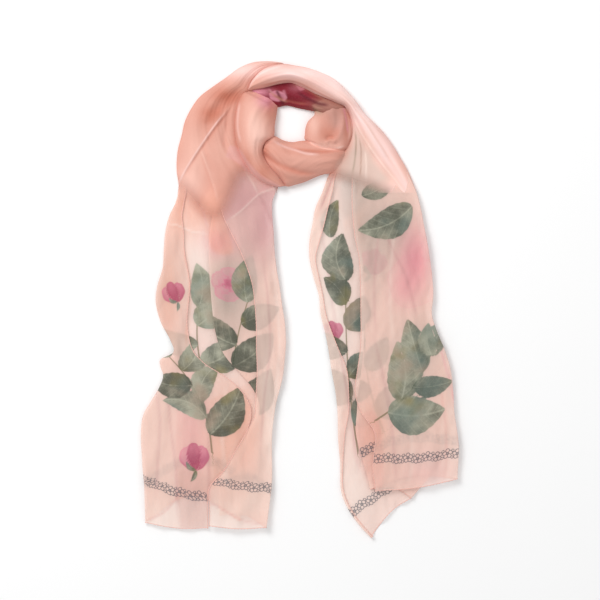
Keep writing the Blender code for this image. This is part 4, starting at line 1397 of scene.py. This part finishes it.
def hem_tree():
    """Geometry Nodes: a rolled hem along each edge line, with a stitch at each pitch."""
    tree = bpy.data.node_groups.new("rolled_hem", "GeometryNodeTree")
    face = tree.interface
    face.new_socket("Geometry", in_out="INPUT", socket_type="NodeSocketGeometry")
    for name in ("Radius", "Stitch pitch", "Stitch length"):
        face.new_socket(name, in_out="INPUT", socket_type="NodeSocketFloat")
    face.new_socket("Material", in_out="INPUT", socket_type="NodeSocketMaterial")
    face.new_socket("Geometry", in_out="OUTPUT", socket_type="NodeSocketGeometry")
    nodes, links = tree.nodes, tree.links
    source = nodes.new("NodeGroupInput")
    sink = nodes.new("NodeGroupOutput")

    def node(kind, inputs, **settings):
        made = nodes.new(kind)
        for key, value in settings.items():
            setattr(made, key, value)
        for key, value in inputs.items():
            if isinstance(value, bpy.types.NodeSocket):
                links.new(value, made.inputs[key])
            else:
                made.inputs[key].default_value = value
        return made

    edges = node("GeometryNodeMeshToCurve", {"Mesh": source.outputs["Geometry"]})
    ring = node("GeometryNodeCurvePrimitiveCircle", {
        "Resolution": HEM_SIDES, "Radius": source.outputs["Radius"]})
    roll = node("GeometryNodeCurveToMesh", {
        "Curve": edges.outputs["Curve"], "Profile Curve": ring.outputs["Curve"],
        "Fill Caps": True})
    spots = node("GeometryNodeCurveToPoints", {
        "Curve": edges.outputs["Curve"], "Length": source.outputs["Stitch pitch"]},
        mode="LENGTH")
    wide = node("ShaderNodeMath", {0: source.outputs["Radius"], 1: STITCH_PROUD},
                operation="MULTIPLY")
    stitch = node("GeometryNodeMeshCylinder", {
        "Vertices": HEM_SIDES, "Radius": wide.outputs[0],
        "Depth": source.outputs["Stitch length"]})
    tilt = node("FunctionNodeRotateRotation", {
        "Rotation": spots.outputs["Rotation"], "Rotate By": (0.0, STITCH_LEAN, 0.0)},
        rotation_space="LOCAL")
    stitches = node("GeometryNodeInstanceOnPoints", {
        "Points": spots.outputs["Points"], "Instance": stitch.outputs["Mesh"],
        "Rotation": tilt.outputs["Rotation"]})
    real = node("GeometryNodeRealizeInstances", {"Geometry": stitches.outputs["Instances"]})
    both = node("GeometryNodeJoinGeometry", {})
    links.new(roll.outputs["Mesh"], both.inputs[0])
    links.new(real.outputs["Geometry"], both.inputs[0])
    finish = node("GeometryNodeSetMaterial", {
        "Geometry": both.outputs["Geometry"], "Material": source.outputs["Material"]})
    links.new(finish.outputs["Geometry"], sink.inputs["Geometry"])
    return tree


def hem_of(name, lines, material_of):
    """Hem piece along lines of points, made a plain mesh."""
    sizes = bpy.context.scene.scarf_sizes
    mesh = bpy.data.meshes.new(name)
    points, edges = [], []
    for line in lines:
        first = len(points)
        points += [tuple(p) for p in line]
        edges += [(first + i, first + i + 1) for i in range(len(line) - 1)]
    mesh.from_pydata(points, edges, [])
    source = bpy.data.objects.new(name + "_line", mesh)
    bpy.context.scene.collection.objects.link(source)
    tree = bpy.data.node_groups.get("rolled_hem") or hem_tree()
    modifier = source.modifiers.new("rolled_hem", "NODES")
    modifier.node_group = tree
    values = {"Radius": sizes.hem_radius, "Stitch pitch": sizes.stitch_pitch,
              "Stitch length": sizes.stitch_length, "Material": material_of}
    for item in tree.interface.items_tree:
        if item.in_out == "INPUT" and item.name in values:
            modifier[item.identifier] = values[item.name]
    shape = source.evaluated_get(bpy.context.evaluated_depsgraph_get())
    made = bpy.data.meshes.new_from_object(shape)
    made.name = name
    bpy.data.objects.remove(source)
    if not made.polygons:
        raise RuntimeError(name + ": the hem has no faces")
    made.shade_smooth()
    return place(name, made, material_of)


# ---------------------------------------------------------------- operators

def border_lines(mesh, rows, columns):
    """Lines of points along a folded sheet's first long edge, its hem and its last long edge."""
    points = np.zeros(len(mesh.vertices) * 3, np.float32)
    mesh.vertices.foreach_get("co", points)
    points = points.reshape(rows, columns, 3)
    return [points[:, 0], points[0], points[:, -1]]


def flat_size(mesh):
    """Surface of a mesh in square metres."""
    return sum(face.area for face in mesh.polygons)


class SCARF_OT_tails(Operator):
    """Folded printed sheets of the two tails, with their rolled hems"""
    bl_idname = "scarf.tails"
    bl_label = "Tails"

    def execute(self, context):
        sheer = sheer_georgette()
        thread = hem_thread()
        for side, table, drops, creases, motifs, tones, seed in (
                ("left", LEFT_TAIL, LEFT_HEM_DROP, LEFT_TAIL_CREASES, LEFT_PRINT,
                 (LEFT_WASHES, LEFT_PATCHES, LEFT_LINES), 3),
                ("right", RIGHT_TAIL, RIGHT_HEM_DROP, RIGHT_TAIL_CREASES, RIGHT_PRINT,
                 (RIGHT_WASHES, RIGHT_PATCHES, RIGHT_LINES), 8)):
            mesh = folded_tail(side + "_tail_cloth", table, drops, HEM_RISE[side],
                               HEM_REACH[side], creases, motifs, tones, seed,
                               TURNED_CORNER[side], BORDER_SHIFT[side])
            rows = (len(table) - 1) * TAIL_STEPS + 1
            edges = border_lines(mesh, rows, len(mesh.vertices) // rows)
            cloth = place(side + "_tail_cloth", mesh, sheer)
            hem = hem_of(side + "_tail_hem", edges, thread)
            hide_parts(side + "_tail")
            length = (table[-1][1] - table[0][1]) * MM
            round(flat_size(mesh) / length, 3)
        return {"FINISHED"}


# Where the gathered cloth thins out over a tail: reach in mm and path on the grid.
ARCH_FADE = (17, ((140, 186), (170, 182), (186, 188), (198, 202), (210, 213), (221, 210),
                  (230, 192), (238, 174), (250, 172), (266, 180), (310, 192)))
OVER_FADE = (14, ((290, 190), (330, 174), (346, 176), (366, 182), (386, 190), (404, 202),
                  (440, 226)))
# Gathered stretches: name, node, left and right edge, heights, creases, columns of the crown,
# growth of the left and the right edge past the seams in mm, depth of the fine folds, where the
# cloth thins out, and the seed of its folds.
GATHERED = (
    ("arch_cloth", "left_arch", ARCH_RUN[0] + ARCH_OUTER,
     ARCH_RUN[1] + ARCH_ROLL_SEAM + ARCH_OVER_SEAM, ARCH_RUN[2] + ARCH_HEIGHT, ARCH_CREASES, 90,
     ((0.3,) * 17, (0, 0, 0, 0, 1) + (3,) * 10 + (2, 0)), 1.0, ARCH_FADE, 4),
    ("over_cloth", "over_band", OVER_LOWER + OVER_RUN[0], OVER_UPPER + OVER_RUN[1],
     OVER_HEIGHT + OVER_RUN[2], OVER_CREASES, 70,
     ((0, 1) + (2,) * 9 + (2.5, 2.5, 2.5, 2, 1.5, 0.5, 0, 0, 0),
      (0, 2, 2.5, 2, 1) + (0,) * 15), 1.0, OVER_FADE, 12),
    ("left_roll_cloth", "left_roll", LEFT_ROLL_LEFT + LEFT_ROLL_RUN[0],
     ROLL_RIGHT + LEFT_ROLL_RUN[1], LEFT_ROLL_HEIGHT + LEFT_ROLL_RUN[2], LEFT_ROLL_CREASES, 60,
     ((1, 2, 3, 3, 3, 3, 3, 3, 2, 0, 0), (1, 2, 2.5, 2.5, 2, 1, 0, 0, 0, 1, 0)), 1.0, None, 5),
    ("front_roll_cloth", "front_roll", FRONT_UPPER + FRONT_RUN[0],
     FRONT_LOWER + FRONT_RUN[1], FRONT_HEIGHT + FRONT_RUN[2], FRONT_CREASES, 66,
     ((2, 1, 0, 0, 0.5, 2.5, 2.5, 2.5, 2.5, 0), (2, 2, 2, 1) + (0,) * 6), 1.0, None, 6),
    ("right_roll_cloth", "right_roll",
     RIGHT_ROLL_RUN[0] + RIGHT_ROLL_LEFT + RIGHT_ROLL_FOOT[0],
     RIGHT_ROLL_RUN[1] + RIGHT_ROLL_RIGHT + RIGHT_ROLL_FOOT[1],
     RIGHT_ROLL_RUN[2] + RIGHT_ROLL_HEIGHT + RIGHT_ROLL_FOOT[2], RIGHT_ROLL_CREASES, 64,
     ((0,) * 9, (0, 2, 2.5, 2.5, 2.5, 2.5, 2.5, 2, 0)), 0.35, None, 7),
)


class SCARF_OT_ring(Operator):
    """Gathered stretches round the neck hole"""
    bl_idname = "scarf.ring"
    bl_label = "Gathered ring"

    def execute(self, context):
        colours = context.scene.scarf_colours
        finish = gathered_georgette("gathered_georgette", colours.gathered_pale, 0.22, 0.13)
        for (name, node, left, right, heights, creases, crown, outwards, depth, fade,
             seed) in GATHERED:
            mesh, points = wrapped_roll(name, left, right, heights, creases, RING_STEPS,
                                        crown, outwards, depth, seed)
            plan = points[:, :2]
            paint(mesh, plan, colours.gathered, (RING_WASHES, RING_PATCHES, RING_LINES))
            cover = np.ones(len(plan))
            if fade:
                reach, path = fade
                away, _ = along_path(plan, on_grid(path))
                cover = eased(0.5 + away / (2 * reach * MM))
            set_field(mesh, "cover", cover)
            cloth = place(name, mesh, finish)
            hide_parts(node)
        return {"FINISHED"}


class SCARF_OT_band(Operator):
    """Deep printed stretch at the top of the neck hole"""
    bl_idname = "scarf.band"
    bl_label = "Inner band"

    def execute(self, context):
        colours = context.scene.scarf_colours
        outwards = ((2, 2, 2, 1) + (0,) * 6, (1,) + (3,) * 7 + (2, 0))
        mesh, points = wrapped_roll(
            "inner_band_cloth", BAND_LOWER + BAND_RUN[0], OVER_BAND_SEAM + BAND_RUN[1],
            BAND_HEIGHT + BAND_RUN[2], BAND_CREASES, BAND_STEPS, 60, outwards, 1.0, 9)
        paint(mesh, points[:, :2], colours.deep, (BAND_WASHES, BAND_PATCHES, BAND_LINES))
        set_field(mesh, "cover", np.ones(len(points)))
        finish = gathered_georgette("deep_printed_georgette", colours.deep_pale, 0.02, 0.06)
        cloth = place("inner_band_cloth", mesh, finish)
        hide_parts("inner_band")
        return {"FINISHED"}


class SCARF_OT_stage(Operator):
    """Floor, soft light and camera"""
    bl_idname = "scarf.stage"
    bl_label = "Stage"

    def execute(self, context):
        scene = context.scene
        settings = scene.stage_settings
        side = settings.floor_size / 2
        floor_mesh = bpy.data.meshes.new("floor")
        floor_mesh.from_pydata([(-side, -side, 0), (side, -side, 0), (side, side, 0),
                                (-side, side, 0)], [], [(0, 1, 2, 3)])
        floor = bpy.data.objects.new("floor", floor_mesh)
        scene.collection.objects.link(floor)
        recipe = Recipe("floor_paint", roughness=0.9, metallic=0.0)
        place_of = recipe.node("ShaderNodeTexCoord", output="Object")
        base = recipe.mix(recipe.noise(place_of, 3.0) * 0.04, rgba(settings.floor_paint),
                          rgba(settings.floor_cloud))
        recipe.feed(recipe.shader.inputs["Base Color"], base)
        floor_mesh.materials.append(recipe.material)

        world = bpy.data.worlds.new("studio")
        world.use_nodes = True
        world.node_tree.nodes["Background"].inputs["Color"].default_value = (1, 1, 1, 1)
        world.node_tree.nodes["Background"].inputs["Strength"].default_value = settings.sky
        scene.world = world
        # Lamps: name, place and size in metres, power in watts.
        for name, spot, size, power in (
                ("key", (-1.2, 1.3, 1.8), 1.2, settings.key),
                ("fill", (1.8, -1.2, 2.4), 2.2, settings.fill)):
            lamp = bpy.data.lights.new(name, "AREA")
            lamp.size = size
            lamp.energy = power
            holder = bpy.data.objects.new(name, lamp)
            holder.location = spot
            direction = -holder.location
            holder.rotation_euler = direction.to_track_quat("-Z", "Y").to_euler()
            scene.collection.objects.link(holder)

        camera = bpy.data.cameras.new("camera")
        camera.sensor_width = 36.0
        camera.lens = camera.sensor_width * settings.camera_height / settings.field
        camera.clip_end = 50.0
        holder = bpy.data.objects.new("camera", camera)
        middle = on_grid((300, 300))
        holder.location = (middle[0], middle[1], settings.camera_height)
        scene.collection.objects.link(holder)
        scene.camera = holder
        scene.view_settings.view_transform = "Standard"
        scene.cycles.transparent_max_bounces = 32
        return {"FINISHED"}


class SCARF_PT_panel(Panel):
    """Panel of the scarf's steps"""
    bl_label = "Scarf"
    bl_idname = "SCARF_PT_panel"
    bl_space_type = "VIEW_3D"
    bl_region_type = "UI"
    bl_category = "Scarf"

    def draw(self, context):
        for step in ("scarf.tails", "scarf.ring", "scarf.band", "scarf.stage"):
            self.layout.operator(step)


CLASSES = (ScarfSizes, ScarfColours, StageSettings, SCARF_OT_tails, SCARF_OT_ring,
           SCARF_OT_band, SCARF_OT_stage, SCARF_PT_panel)


def register():
    """Add the settings, the steps and their panel."""
    for item in CLASSES:
        bpy.utils.register_class(item)
    bpy.types.Scene.scarf_sizes = PointerProperty(type=ScarfSizes)
    bpy.types.Scene.scarf_colours = PointerProperty(type=ScarfColours)
    bpy.types.Scene.stage_settings = PointerProperty(type=StageSettings)


def unregister():
    """Take them away again."""
    for name in ("scarf_sizes", "scarf_colours", "stage_settings"):
        delattr(bpy.types.Scene, name)
    for item in reversed(CLASSES):
        bpy.utils.unregister_class(item)


def main():
    """Make the scarf and its stage."""
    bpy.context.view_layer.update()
    register()
    bpy.ops.scarf.tails()
    bpy.ops.scarf.ring()
    bpy.ops.scarf.band()
    bpy.ops.scarf.stage()


if __name__ == "__main__":
    main()
